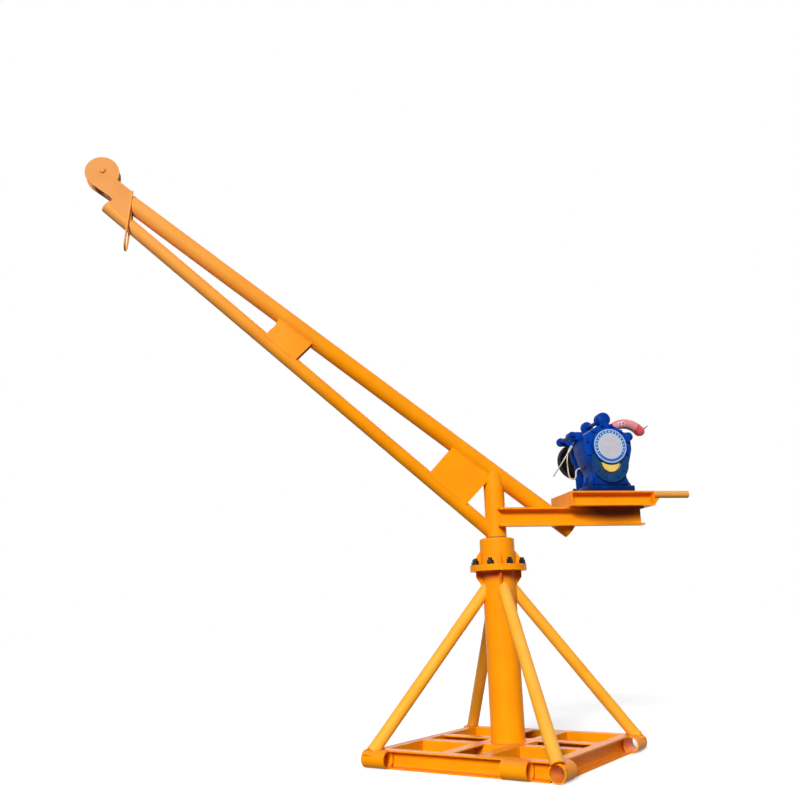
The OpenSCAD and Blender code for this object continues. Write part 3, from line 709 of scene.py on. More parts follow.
def swept(stations: Sequence[Matrix], radii: Sequence[float], segments: int = 24) -> bmesh.types.BMesh:
    """Draws a round section along placed stations, closed at both ends.

    Args:
        stations: The placing of each ring, with its own Z along the path.
        radii: The radius of each ring.
        segments: Number of corners of the section.

    Returns:
        The swept shape.
    """
    part = bmesh.new()
    ring = bmesh.ops.create_circle(part, cap_ends=False, segments=segments, radius=1.0)["verts"]
    edges = first = list(part.edges)
    previous = stations[0] @ Matrix.Scale(radii[0], 4)
    bmesh.ops.transform(part, matrix=previous, verts=ring)
    for station, radius in zip(stations[1:], radii[1:]):
        placed = station @ Matrix.Scale(radius, 4)
        grown = bmesh.ops.extrude_edge_only(part, edges=edges)["geom"]
        ring = [g for g in grown if isinstance(g, bmesh.types.BMVert)]
        edges = [g for g in grown if isinstance(g, bmesh.types.BMEdge) and g.is_boundary]
        bmesh.ops.transform(part, matrix=placed @ previous.inverted(), verts=ring)
        previous = placed
    bmesh.ops.edgeloop_fill(part, edges=first)
    bmesh.ops.edgeloop_fill(part, edges=edges)
    bmesh.ops.recalc_face_normals(part, faces=part.faces)
    return part


def stations_along(points: Sequence[Vector]) -> list[Matrix]:
    """Places a ring at each point of a path, without a twist from one to the next.

    Args:
        points: The points of the path.

    Returns:
        One placing for each point.
    """
    rings: list[Matrix] = []
    side = Vector((0, 0, 0))
    for i, point in enumerate(points):
        heading = (points[min(i + 1, len(points) - 1)] - points[max(i - 1, 0)]).normalized()
        if side.length < 0.5:
            side = heading.orthogonal().normalized()
        side = (side - heading * side.dot(heading)).normalized()
        ring = Matrix((side, heading.cross(side), heading)).transposed().to_4x4()
        ring.translation = point
        rings.append(ring)
    return rings


class Piece:
    """One visible piece: shapes are joined into it, then it gets its finish and body."""

    def __init__(self, name: str) -> None:
        """Starts an empty piece with that name."""
        self.name = name
        self.mesh = bmesh.new()

    def join(self, part: bmesh.types.BMesh, place: Matrix = Matrix.Identity(4)) -> "Piece":
        """Joins a shape at its place, and returns the piece itself.

        Args:
            part: The shape, which is used up.
            place: Where it goes.

        Returns:
            This piece.
        """
        bmesh.ops.transform(part, matrix=place, verts=part.verts)
        carrier = bpy.data.meshes.new("carrier")
        part.to_mesh(carrier)
        part.free()
        self.mesh.from_mesh(carrier)
        bpy.data.meshes.remove(carrier)
        return self

    def turn(self, profile: Iterable[Pair], segments: int, place: Matrix, closed: bool = False) -> "Piece":
        """Joins a profile in millimetres, turned about the Z axis of its place."""
        return self.join(turned(mm(profile), segments, closed), place)

    def finish(
        self,
        material: bpy.types.Material,
        body: Body,
        slot: Slot,
        replaces: Iterable[str] = (),
        smooth: float = 0.6,
    ) -> None:
        """Turns the piece into an object of the scene.

        Args:
            material: Its finish.
            body: The body it moves with.
            slot: The record's slot that the finish belongs to; it is not used.
            replaces: CAD nodes that it stands for.
            smooth: Edges sharper than this, in radians, stay sharp.
        """
        data = bpy.data.meshes.new(self.name)
        self.mesh.to_mesh(data)
        self.mesh.free()
        data.polygons.foreach_set("use_smooth", [True] * len(data.polygons))
        data.set_sharp_from_angle(angle=smooth)
        data.materials.append(material)
        settle(linked(self.name, data), body, replaces)


def linked(name: str, data: bpy.types.ID) -> bpy.types.Object:
    """Makes an object of the scene.

    Args:
        name: Its name.
        data: Its mesh, curve, camera or lamp.

    Returns:
        The new object.
    """
    thing = bpy.data.objects.new(name, data)
    bpy.context.scene.collection.objects.link(thing)
    return thing


def settle(thing: bpy.types.Object, body: Body, replaces: Iterable[str] = ()) -> None:
    """Ties an object to its body, hides the CAD nodes it stands for, and reports it.

    Args:
        thing: The object.
        body: The body it moves with.
        replaces: CAD nodes that it stands for.
    """
    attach(thing, body.value)
    if tuple(replaces):
        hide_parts(*replaces)
    faces = len(thing.data.polygons) if thing.type == "MESH" else 0
    log.info("%s: %d faces on %s", thing.name, faces, body.value)


# ------------------------------------------------------------------------ studio
@dataclass
class Studio:
    """The camera, the plain white floor and the soft lights."""

    # Where the camera stands, and which ways its right and its top point
    eye: Vector = Vector((-1.0908, -3.5446, 0.5724))
    right: Vector = Vector((0.98292, -0.18157, -0.02989))
    up: Vector = Vector((-0.01703, -0.25152, 0.96770))
    lens_mm: float = 37.864
    floor_size: float = 60.0
    sky: float = 0.2
    # Each lamp's name, strength, apparent width in radians, and the side it shines from
    lamps: tuple[tuple[str, float, float, Triple], ...] = (
        ("key", 3.2, 0.3, (-0.55, -1.0, 0.52)),
        ("fill", 0.35, 1.2, (0.9, -1.0, 0.5)),
        ("back", 0.9, 1.2, (0.5, 1.0, 0.25)),
    )

    def camera(self) -> None:
        """Builds the camera and makes it the scene's own."""
        data = bpy.data.cameras.new("camera")
        data.lens = self.lens_mm
        data.sensor_width = 36.0
        data.clip_end = 200.0
        back = self.right.cross(self.up).normalized()
        place = Matrix((self.right, self.up, back)).transposed().to_4x4()
        place.translation = self.eye
        bpy.context.scene.camera = linked("camera", data)
        bpy.context.scene.camera.matrix_world = place

    def floor(self) -> None:
        """Builds the floor."""
        part = bmesh.new()
        bmesh.ops.create_grid(part, x_segments=8, y_segments=8, size=self.floor_size / 2)
        data = bpy.data.meshes.new("floor")
        part.to_mesh(data)
        part.free()
        data.materials.append(FloorPaper().build())
        linked("floor", data)

    def world(self) -> None:
        """Builds a white surround that the camera sees at full white."""
        world = bpy.data.worlds.new("white surround")
        bpy.context.scene.world = world
        graph = Graph(world)
        strength = graph.ramp(graph.direct(), 0.0, 1.0, self.sky, 1.0)
        light = graph.add("Background", {"Color": "#FFFFFF", "Strength": strength})[0]
        graph.add("OutputWorld", {"Surface": light})

    def lamp(self, name: str, energy: float, spread: float, source: Triple) -> None:
        """Builds a sun lamp that shines from a direction.

        Args:
            name: The lamp's name.
            energy: Its strength.
            spread: Its apparent width in radians, which softens its shadows.
            source: Where the light comes from, seen from the origin.
        """
        data = bpy.data.lights.new(name, "SUN")
        data.energy = energy
        data.angle = spread
        linked(name, data).rotation_euler = Vector(source).to_track_quat("Z", "Y").to_euler()

    def build(self) -> None:
        """Builds everything around the crane."""
        self.camera()
        self.floor()
        self.world()
        for lamp in self.lamps:
            self.lamp(*lamp)
        bpy.context.scene.view_settings.view_transform = "Standard"


# ------------------------------------------------------------------------- parts
@dataclass(frozen=True)
class HexBolt:
    """A hexagon bolt or nut on a washer, with the thread's end past it."""

    across: float
    head: float
    thread: float
    washer: float = 2.5 * MM
    # The washer's radius as a share of the width across the flats
    washer_share: float = 0.62

    def add_to(self, piece: Piece, place: Matrix, stub: float = 0.0) -> None:
        """Joins the fastener to a piece.

        Args:
            piece: The piece that gets it.
            place: Its seat, with Z pointing away from what it clamps.
            stub: How far the thread stands past the head.
        """
        piece.join(rod(self.across * self.washer_share, self.washer, 0.4 * MM, 32), place)
        piece.join(hex_head(self.across, self.head), place @ at(0, 0, self.washer))
        if stub:
            stud = rod(self.thread / 2, stub, 1 * MM, 24)
            piece.join(stud, place @ at(0, 0, self.washer + self.head - 0.5 * MM))


@dataclass(frozen=True)
class Weld:
    """A fillet weld's bead with the ripple of its weave."""

    radius: float = 3.2 * MM
    step: float = 5.0 * MM
    ripple: float = 0.06

    def add_to(self, piece: Piece, points: Sequence[Vector]) -> None:
        """Draws the bead along a path.

        Args:
            piece: The piece that gets it.
            points: Corners or close points of the path.
        """
        path: list[Vector] = []
        for start, end in zip(points, points[1:]):
            count = max(1, round((end - start).length / self.step))
            path += [start.lerp(end, i / count) for i in range(count)]
        path.append(points[-1])
        radii = [self.radius * (1 + self.ripple * (-1) ** i) for i in range(len(path))]
        radii[0] = radii[-1] = self.radius * 0.5
        piece.join(swept(stations_along(path), radii, 7))

    def ring(
        self, piece: Piece, height: float, radius: float, start: float = 0.0, turn: float = TAU
    ) -> None:
        """Draws a level bead around the column, or around a part of it.

        Args:
            piece: The piece that gets it.
            height: Its height above the floor.
            radius: Its radius about the column's axis.
            start: Where it starts, in radians.
            turn: How far it runs round, in radians.
        """
        count = max(6, round(radius * turn / self.step))
        spots = [start + turn * i / count for i in range(count + 1)]
        self.add_to(piece, [Vector((radius * math.cos(a), radius * math.sin(a), height)) for a in spots])


def saddle(
    foot: Vector, heading: Vector, radius: float, reach: float, centre: Vector = ORIGIN, axis: Vector = UP
) -> list[Vector]:
    """Finds the line on which a tube meets a round bar.

    Args:
        foot: A point on the tube's axis, outside the bar.
        heading: The tube's direction towards the bar.
        radius: The tube's radius.
        reach: The bar's radius.
        centre: A point on the bar's axis.
        axis: The bar's direction.

    Returns:
        The closed line's points, with the first one again at its end.
    """
    heading, axis = heading.normalized(), axis.normalized()
    side = heading.orthogonal().normalized()
    other = heading.cross(side)
    line = []
    for i in range(41):
        turn = TAU * i / 40
        spot = foot + radius * (math.cos(turn) * side + math.sin(turn) * other)
        gap = (spot - centre) - axis * (spot - centre).dot(axis)
        move = heading - axis * heading.dot(axis)
        a, b, c = move.dot(move), gap.dot(move), gap.dot(gap) - reach * reach
        line.append(spot + heading * ((-b - math.sqrt(max(0.0, b * b - a * c))) / a))
    return line


@dataclass
class Base:
    """The square channel frame with its sockets, column and struts."""

    finishes: Finishes
    column_r: float = 70 * MM
    floor_of_column: float = 70 * MM
    top_of_column: float = 753 * MM
    strut_r: float = 25.5 * MM
    strut_foot_r: float = 555.08 * MM
    strut_foot_z: float = 69 * MM
    # How far each strut reaches past the top of its socket, where it is cut square
    strut_tail: float = 9 * MM
    strut_top_z: float = 666 * MM
    socket_r: float = 34 * MM
    socket_z: float = 35 * MM
    socket_line: float = 395 * MM
    # Which way the socket under each strut runs, as quarter turns of the frame
    socket_turns: tuple[int, ...] = (1, 2, 0, 1)
    socket_ends: tuple[int, ...] = (1, 1, -1, -1)
    # How far along its side the socket under each strut reaches, and the room its bead
    # leaves there so that it stays inside the frame
    socket_tips: tuple[float, ...] = (432.5 * MM, 432.5 * MM, 432.5 * MM, 404.5 * MM)
    rim_room: float = 1 * MM
    # Half the angle of each bead at the column's foot, between the angle irons
    foot_bead: float = 0.66

    def dress(self) -> None:
        """Gives the CAD nodes of the base their finish."""
        sides = ("front_left", "front_right", "back_right")
        names = [part + side for part in ("side_channel_", "sockets_") for side in sides]
        paint(names + ["side_channel_back_left", "cross_angles", "tie_angles"], self.finishes.frame)
        paint(("column",), self.finishes.column)
        paint(("struts",), self.finishes.strut)

    def strut_welds(self, piece: Piece, quarter: int) -> None:
        """Adds the beads at both ends of one strut.

        Args:
            piece: The piece that gets them.
            quarter: The strut's number, in quarter turns of the frame.
        """
        bead = Weld()
        spun = Matrix.Rotation(TAU * quarter / 4, 3, "Z")
        low = spun @ Vector((self.strut_foot_r, 0, self.strut_foot_z))
        slope = spun @ Vector((self.column_r, 0, self.strut_top_z)) - low
        middle = low + slope / 2
        bead.add_to(piece, saddle(middle, slope, self.strut_r + 0.5 * MM, self.column_r))
        # The foot is coped for a socket along either side, and only one of them is there
        copes = {}
        for number in ((quarter + 1) % 4, (quarter + 2) % 4):
            turn = Matrix.Rotation(TAU * (number / 4 - 1 / 8), 3, "Z")
            centre = turn @ Vector((0, -self.socket_line, self.socket_z))
            way = turn @ Vector((1, 0, 0))
            copes[number] = saddle(middle, -slope, self.strut_r - 0.5 * MM, self.socket_r, centre, way)
        edge = [max(pair, key=lambda spot: spot.z) for pair in zip(*copes.values())]
        uphill = slope.normalized()
        short = [max(0.0, -self.strut_tail - (spot - low).dot(uphill)) for spot in edge]
        bead.add_to(piece, [spot + uphill * lift for spot, lift in zip(edge, short)])
        # A second run along the socket's rim seals the foot where it hangs past it
        number = self.socket_turns[quarter]
        turn = Matrix.Rotation(TAU * (number / 4 - 1 / 8), 3, "Z")
        outward = turn @ Vector((self.socket_ends[quarter], 0, 0))
        reach = self.socket_tips[quarter] - bead.radius - self.rim_room
        bead.add_to(piece, [spot - outward * max(0.0, spot.dot(outward) - reach) for spot in copes[number]])

    def welds(self) -> None:
        """Builds the beads at the column's foot and at both ends of each strut."""
        bead = Weld()
        piece = Piece("base_welds")
        ring_r = self.column_r + 1 * MM
        for quarter in range(4):
            start = TAU * (quarter / 4 + 1 / 8) - self.foot_bead
            bead.ring(piece, self.floor_of_column + 1 * MM, ring_r, start, 2 * self.foot_bead)
        bead.ring(piece, self.top_of_column - 2 * MM, ring_r)
        for quarter in range(4):
            self.strut_welds(piece, quarter)
        piece.finish(self.finishes.frame, Body.BASE, Slot.FRAME)

    def build(self) -> None:
        """Builds and dresses the base."""
        self.dress()
        self.welds()


@dataclass
class SlewingHub:
    """The bolted flanges, the ribbed bearing housing and their black bolts."""

    finishes: Finishes
    bolt_circle: float = 107 * MM
    first_rib: float = math.radians(258)
    # Half a rib's thickness with half a bead beside it
    rib_bead: float = 4.6 * MM
    nipple_z: float = 862 * MM
    nipple_turn: float = 0.61 * TAU
    flange_top: float = 779 * MM
    hub_r: float = 74.5 * MM
    hub_top: float = 892 * MM
    column_r: float = 70 * MM
    mast_r: float = 44.5 * MM
    bolt: HexBolt = HexBolt(26 * MM, 15 * MM, 18 * MM)

    def dress(self) -> None:
        """Gives the CAD nodes of the hub their finish."""
        paint(("column_flange", "hub", "hub_ribs"), self.finishes.frame)
        paint(("column_ribs",), self.finishes.column)

    def bolts(self) -> None:
        """Builds eight bolts through both flanges, with their heads on top."""
        piece = Piece("flange_bolts")
        for i in range(8):
            turn = self.first_rib + TAU * (i + 0.5) / 8
            spot = at(self.bolt_circle * math.cos(turn), self.bolt_circle * math.sin(turn), self.flange_top)
            self.bolt.add_to(piece, spot @ spin(turn + 0.3 * i, "Z"), 10 * MM)
        piece.finish(self.finishes.oxide, Body.BASE, Slot.BLACK)

    def welds(self) -> None:
        """Builds the beads beside the ribs, above and below the flanges."""
        bead = Weld(2.6 * MM)
        piece = Piece("hub_welds")
        for i in range(4):
            rib = Matrix.Rotation(self.first_rib + TAU * i / 4, 3, "Z")
            for side in (-self.rib_bead, self.rib_bead):
                for r, low, high in ((self.hub_r, 783, 834), (self.column_r, 693, 748)):
                    bead.add_to(piece, [rib @ Vector((r + 1 * MM, side, z * MM)) for z in (low, high)])
                bead.add_to(piece, [rib @ Vector((x * MM, side, 780.5 * MM)) for x in (78, 103)])
        piece.finish(self.finishes.frame, Body.BASE, Slot.FRAME)

    def seal(self) -> None:
        """Builds the dust seal round the mast and the grease nipple on the housing."""
        low, rim = self.hub_top, self.mast_r + 9 * MM
        profile = [(self.mast_r + 0.6 * MM, low), (rim, low), (rim, low + 2 * MM)]
        profile += [(rim - 4 * MM, low + 3 * MM), (self.mast_r + 0.6 * MM, low + 5 * MM)]
        piece = Piece("dust_seal").join(turned(profile, 72, closed=True))
        piece.finish(self.finishes.black, Body.BASE, Slot.BLACK)
        seat = at(self.hub_r - 1 * MM, 0, self.nipple_z) @ spin(TAU / 4, "Y")
        place = spin(self.first_rib + self.nipple_turn, "Z") @ seat
        shape = [(0, 0), (5, 0), (5, 4), (3, 4.5), (3, 8), (2.2, 9), (3, 11), (2.4, 13.5), (0, 14)]
        nipple = Piece("grease_nipple").turn(shape, 24, place)
        nipple.finish(self.finishes.shaft, Body.BASE, Slot.STEEL)

    def build(self) -> None:
        """Builds and dresses the hub."""
        self.dress()
        self.bolts()
        self.welds()
        self.seal()


@dataclass(frozen=True)
class Chord:
    """One of the boom's two tubes, whose axis crosses the mast's axis at a height and
    rises by a tilt towards -X."""

    height: float
    tilt: float
    radius: float

    def point(self, x: float, off: float, y: float) -> Vector:
        """Returns the point above the axis at station x, by a distance square to it."""
        z = self.height - math.tan(self.tilt) * x
        return Vector((x + off * math.sin(self.tilt), y, z + off * math.cos(self.tilt)))


@dataclass
class Boom:
    """The mast, the two chords with their gussets, and the head with its sheave."""

    finishes: Finishes
    top: Chord = Chord(1181 * MM, math.radians(37), 38 * MM)
    bottom: Chord = Chord(902 * MM, math.radians(40.8), 30 * MM)
    # Where along X, in millimetres, the gussets and head plates meet each chord
    top_runs: tuple[Pair, ...] = ((-900, -762), (-146, -52))
    bottom_runs: tuple[Pair, ...] = ((-1018, -898), (-312, -166), (-1684, -1592))
    plate_out: float = 29 * MM
    mast_r: float = 44.5 * MM
    pin_r: float = 15 * MM
    pin_reach: float = 34 * MM

    def dress(self) -> None:
        """Gives the CAD nodes of the boom their finish."""
        paint(("mast", "mast_gussets"), self.finishes.frame)
        paint(("top_chord", "bottom_chord", "mid_gussets", "guard_loop"), self.finishes.boom)
        paint(("head_plates", "head_spacer"), self.finishes.head)
        paint(("sheave",), self.finishes.sheave)

    def welds(self) -> None:
        """Builds the beads along the gussets and where the chords meet the mast."""
        bead = Weld(2.2 * MM, 8 * MM, 0.0)
        piece = Piece("boom_welds")
        for side in (-1, 1):
            y = side * (self.plate_out + 0.8 * MM)
            for chord, up, runs in ((self.top, -1, self.top_runs), (self.bottom, 1, self.bottom_runs)):
                off = up * (math.sqrt(chord.radius**2 - self.plate_out**2) + 0.5 * MM)
                for run in runs:
                    bead.add_to(piece, [chord.point(x * MM, off, y) for x in run])
        heading = Vector((math.cos(self.bottom.tilt), 0, -math.sin(self.bottom.tilt)))
        foot = self.bottom.point(-200 * MM, 0, 0)
        bead.add_to(piece, saddle(foot, heading, self.bottom.radius + 0.5 * MM, self.mast_r))
        piece.finish(self.finishes.boom, Body.BOOM, Slot.FRAME)

    def pin(self) -> None:
        """Builds the sheave's painted pin, with chamfered ends."""
        place = at(*middle_of("sheave_pin")) @ FRONT @ at(0, 0, -self.pin_reach)
        piece = Piece("sheave_pin_dressed").join(rod(self.pin_r, 2 * self.pin_reach, 2.5 * MM, 48), place)
        piece.finish(self.finishes.head, Body.BOOM, Slot.HEAD, ("sheave_pin",))

    def build(self) -> None:
        """Builds and dresses the boom."""
        self.dress()
        self.welds()
        self.pin()


@dataclass
class WinchBracket:
    """The beam behind the mast and the channel bracket with its push handle."""

    finishes: Finishes
    foot_bolt: HexBolt = HexBolt(18 * MM, 8 * MM, 12 * MM)
    bolt_x: float = 92 * MM
    front_y: float = -78 * MM
    back_y: float = 97 * MM
    foot_top: float = 1108.4 * MM

    def dress(self) -> None:
        """Gives the CAD nodes of the bracket their finish."""
        names = ("bracket_end_near", "bracket_end_far", "bracket_side_front", "bracket_side_back")
        paint(names + ("handle_gusset",), self.finishes.frame)
        paint(("beam",), self.finishes.beam)
        paint(("push_handle",), self.finishes.handle)

    def bolts(self, drum_x: float) -> None:
        """Builds the four bolts that hold the winch's feet.

        Args:
            drum_x: Where the drum's axis is along X.
        """
        piece = Piece("winch_foot_bolts")
        for y in (self.front_y, self.back_y):
            for side in (-1, 1):
                spot = at(drum_x + side * self.bolt_x, y, self.foot_top)
                self.foot_bolt.add_to(piece, spot @ spin(0.4 * side + y, "Z"), 5 * MM)
        piece.finish(self.finishes.oxide, Body.BOOM, Slot.BLACK)

    def build(self, drum_x: float) -> None:
        """Builds and dresses the bracket, for a drum at that place along X."""
        self.dress()
        self.bolts(drum_x)


@dataclass
class Winch:
    """The electric drum winch: gearbox, drum, motor and their fittings."""

    finishes: Finishes
    axis: Vector
    front: float = -105 * MM
    back: float = 25 * MM
    foot_drop: float = 204 * MM
    foot_w: float = 218 * MM
    foot_h: float = 28 * MM
    cover_drop: float = 5 * MM
    bearing_drop: float = 79 * MM
    lug: Pair = (136 * MM, 58 * MM)
    lug_r: float = 20 * MM
    lug_y: Pair = (-40 * MM, 0.0)
    boss_h: float = 129 * MM
    plate_t: float = 18 * MM
    rod_r: float = 9 * MM
    motor_y: float = 118 * MM
    motor_len: float = 186 * MM
    # How much of the motor's length is finned shell; the fan cover takes the rest
    shell_share: float = 0.72
    fins: int = 36
    # The rings of slots in the fan cover's face, as shares of its radius
    slot_rings: tuple[Pair, ...] = ((0.64, 0.72), (0.44, 0.52), (0.24, 0.32))
    motor_r: float = 87 * MM
    drum_r: float = 69 * MM
    rope_r: float = 3 * MM
    # The strand is drawn a little thin, so that a gap shows between its turns
    rope_share: float = 0.97
    core_bore: float = 42.2 * MM
    # The gearbox's right edge seen from the front, in millimetres from the drum's axis
    flank: tuple[Pair, ...] = (
        (6, 106), (43, 90), (72, 71), (108, 48), (112, 25), (112, -15), (95, -74), (76, -108),
    )
    ear: tuple[Pair, ...] = ((0, 0), (18, 0), (20, 2))

    def place(self, x: float, y: float, z: float) -> Matrix:
        """Returns a placing that faces -Y, at a point measured from the drum's axis."""
        return at(self.axis.x + x, y, self.axis.z + z) @ FRONT

    def gearbox(self) -> None:
        """Builds the cast gearbox with its boss, ears and foot."""
        piece = Piece("gearbox_casting")
        right = mm(self.flank) + [(76 * MM, -self.foot_drop + self.foot_h)]
        outline = right + [(-x, z) for x, z in reversed(right)]
        piece.join(slab(outline, self.back - self.front - 1 * MM, 7 * MM), self.place(0, self.back, 0))
        dome = [(0, 0), (29, 0), (32, 3), (32, 37), (30.6, 43), (27, 48), (21, 51), (11, 52.5), (0, 53)]
        piece.turn(dome, 56, self.place(0, self.front + 63 * MM, self.boss_h - 2 * MM))
        low, high = self.lug_y
        ear = self.ear + ((20, 37), (17.5, 39.6), (0, 39.8))
        for side in (-1, 1):
            piece.turn(ear, 48, self.place(side * self.lug[0], high, self.lug[1]))
            arm = block(52 * MM, 2 * self.lug_r - 1 * MM, high - low - 1 * MM, 6 * MM)
            piece.join(arm, self.place(side * (self.lug[0] - 26 * MM), high - 0.5 * MM, self.lug[1]))
            for y in (self.front + 30 * MM, self.front + 96 * MM):
                web = slab(mm([(0, 0), (side * 26, 0), (side * 4, 50), (0, 50)]), 9 * MM, 2 * MM)
                piece.join(web, self.place(side * 75 * MM, y, -self.foot_drop + self.foot_h))
        self.add_foot(piece, self.back - self.front, self.back)
        piece.finish(self.finishes.winch, Body.BOOM, Slot.WINCH, ("gearbox", "gearbox_foot"))

    def add_foot(self, piece: Piece, depth: float, back: float) -> None:
        """Joins a foot to a piece, from its back towards the front by its depth."""
        foot = block(self.foot_w, self.foot_h - 0.5 * MM, depth, 5 * MM)
        piece.join(foot, self.place(0, back, -self.foot_drop + self.foot_h / 2 + 0.2 * MM))

    def cover(self) -> None:
        """Builds the round gear cover, its badge and the screws beside it."""
        place = self.place(0, self.front, -self.cover_drop)
        rim = [(0, 0), (79, 0), (80, 1), (80, 16), (79.2, 18.6), (77.8, 20), (76.6, 19.4), (76.2, 18)]
        piece = Piece("gear_cover").turn(rim + [(0, 18)], 96, place)
        piece.finish(self.finishes.winch, Body.BOOM, Slot.WINCH, ("gearbox_cover",))
        disc = [(0, 0), (75.4, 0), (76, 0.6), (76, 3.6), (75.2, 4.3), (0, 4.6)]
        piece = Piece("round_badge").turn(disc, 96, place @ at(0, 0, 18.2 * MM))
        piece.finish(self.finishes.badge, Body.BOOM, Slot.BADGE, ("badge",))
        screws = Piece("gearbox_screws")
        small = HexBolt(13 * MM, 5.5 * MM, 8 * MM, 1.6 * MM)
        for right, z in ((64, 66), (97, 22), (93, -38), (22, 92)):
            for x in (-right, right):
                seat = self.place(x * MM, self.front - 0.3 * MM, z * MM)
                small.add_to(screws, seat @ spin(x * 0.1, "Z"))
        screws.finish(self.finishes.winch, Body.BOOM, Slot.WINCH)

    def bearing(self) -> None:
        """Builds the lower bearing cover with its black seal and cream cap."""
        place = self.place(0, self.front, -self.bearing_drop)
        ring = [(50, 0), (84.5, 0), (86, 1.5), (86, 8), (84, 10), (52, 10), (50, 8.5)]
        piece = Piece("bearing_housing").turn(ring, 96, place, closed=True)
        piece.finish(self.finishes.winch_shade, Body.BOOM, Slot.WINCH, ("bearing_cover",))
        lip = [(0, 0), (49.8, 0), (49.8, 6.5), (46, 7.5), (43, 5.5), (0, 5.5)]
        Piece("bearing_seal").turn(lip, 72, place).finish(self.finishes.black, Body.BOOM, Slot.BLACK)
        dish = [(0, 5.6), (40, 5.6), (40, 9.5), (38.5, 10.8), (34, 11), (33, 10.2), (0, 10.4)]
        piece = Piece("cream_cap").turn(dish, 72, place)
        piece.finish(self.finishes.cap, Body.BOOM, Slot.CAP, ("bearing_cap",))
        screws = Piece("bearing_screws")
        for turn in (-30, -65, -115, -150):
            angle = math.radians(turn)
            x, z = 68 * MM * math.cos(angle), 68 * MM * math.sin(angle) - self.bearing_drop
            head = [(0, 0), (5, 0), (5, 4), (4.2, 5), (2.6, 5), (2.6, 2.5), (0, 2.5)]
            screws.turn(head, 24, self.place(x, self.front - 10 * MM, z))
        screws.finish(self.finishes.winch_shade, Body.BOOM, Slot.WINCH)

    def drum(self) -> None:
        """Builds the outer layer of rope as one helix over the full core."""
        paint(("drum",), self.finishes.motor)
        paint(("drum_shaft",), self.finishes.shaft)
        piece = Piece("wound_rope")
        low, high = (corner.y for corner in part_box("drum_rope"))
        turns, steps = round((high - low) / (2 * self.rope_r)) - 1, 48
        bore, core_r = self.core_bore, self.drum_r - 1 * MM
        core = [(bore, 0), (core_r, 0), (core_r, high - low), (bore, high - low)]
        piece.join(turned(core, 72, closed=True), self.place(0, high, 0))
        strand = bmesh.new()
        start = at(self.drum_r, 0, self.rope_r) @ spin(TAU / 4, "X")
        bmesh.ops.create_circle(strand, segments=10, radius=self.rope_r * self.rope_share, matrix=start)
        bmesh.ops.spin(
            strand,
            geom=list(strand.verts) + list(strand.edges),
            cent=(0, 0, 0),
            axis=(0, 0, 1),
            dvec=(0, 0, 2 * self.rope_r / steps),
            angle=TAU * turns,
            steps=steps * turns,
            use_merge=False,
        )
        ends = [e for e in strand.edges if e.is_boundary]
        bmesh.ops.holes_fill(strand, edges=ends, sides=0)
        bmesh.ops.recalc_face_normals(strand, faces=strand.faces)
        piece.join(strand, self.place(0, high, 0))
        piece.finish(self.finishes.rope, Body.DRUM, Slot.ROPE, ("drum_rope",), 1.2)

    def motor(self) -> None:
        """Builds the motor's end plate with its foot, then the motor itself."""
        end = Piece("motor_end_plate")
        y = self.motor_y
        rim = [(0, 0), (91, 0), (93, 2), (93, 16), (91, 18), (0, 18)]
        end.turn(rim, 80, self.place(0, y, 0))
        pedestal = mm([(-76, -175.6), (76, -175.6), (76, -20), (-76, -20)])
        end.join(slab(pedestal, 17 * MM, 4 * MM), self.place(0, y, 0))
        boss = [(0, 0), (28, 0), (30, 2), (30, 15), (27, 18), (0, 18)]
        end.turn(boss, 40, self.place(0, y, self.boss_h - 2 * MM))
        neck = block(42 * MM, 30 * MM, 17 * MM, 3 * MM)
        end.join(neck, self.place(0, y - 0.5 * MM, 100 * MM))
        for side in (-1, 1):
            ear = self.ear + ((20, 15), (18, 17.5), (0, 17.5))
            end.turn(ear, 40, self.place(side * self.lug[0], y, self.lug[1]))
            arm = block(54 * MM, 38 * MM, 16.5 * MM, 3 * MM)
            end.join(arm, self.place(side * (self.lug[0] - 28 * MM), y - 0.5 * MM, self.lug[1]))
        self.add_foot(end, 55 * MM, 125 * MM)
        end.finish(self.finishes.winch, Body.BOOM, Slot.WINCH, ("motor_plate", "motor_foot"))
        self.motor_body()
        self.fan_cover()

    def motor_body(self) -> None:
        """Builds the finned shell and the terminal box on it."""
        length = self.motor_len * self.shell_share
        place = self.place(0, self.motor_y + length, 0)
        shell = Piece("motor_shell")
        end = length / MM - 0.3
        core = [(0, 0), (76, 0), (77, 1), (77, 127), (80, 129), (80, 133.6), (0, 133.6)]
        shell.turn([(r, min(z, end)) for r, z in core], 72, place)
        root = mm([(75, -1.2), (86, -0.8), (86, 0.8), (75, 1.2)])
        for i in range(self.fins):
            fin = slab(root, length - 14 * MM)
            shell.join(fin, place @ spin(TAU * (i + 0.5) / self.fins, "Z") @ at(0, 0, 5 * MM))
        side = spin(TAU / 4, "Y")
        spot = at(self.axis.x + 74 * MM, self.motor_y + 62 * MM, self.axis.z - 4 * MM)
        box = block(72 * MM, 26 * MM, 58 * MM, 4 * MM)
        shell.join(box, spot @ side @ spin(TAU / 4, "Z") @ Matrix.Diagonal((1, 1, 0.33, 1)))
        lid = block(76 * MM, 30 * MM, 5 * MM, 2 * MM)
        shell.join(lid, spot @ at(19 * MM, 0, 0) @ side @ spin(TAU / 4, "Z"))
        shell.finish(self.finishes.motor, Body.BOOM, Slot.MOTOR, ("motor",))

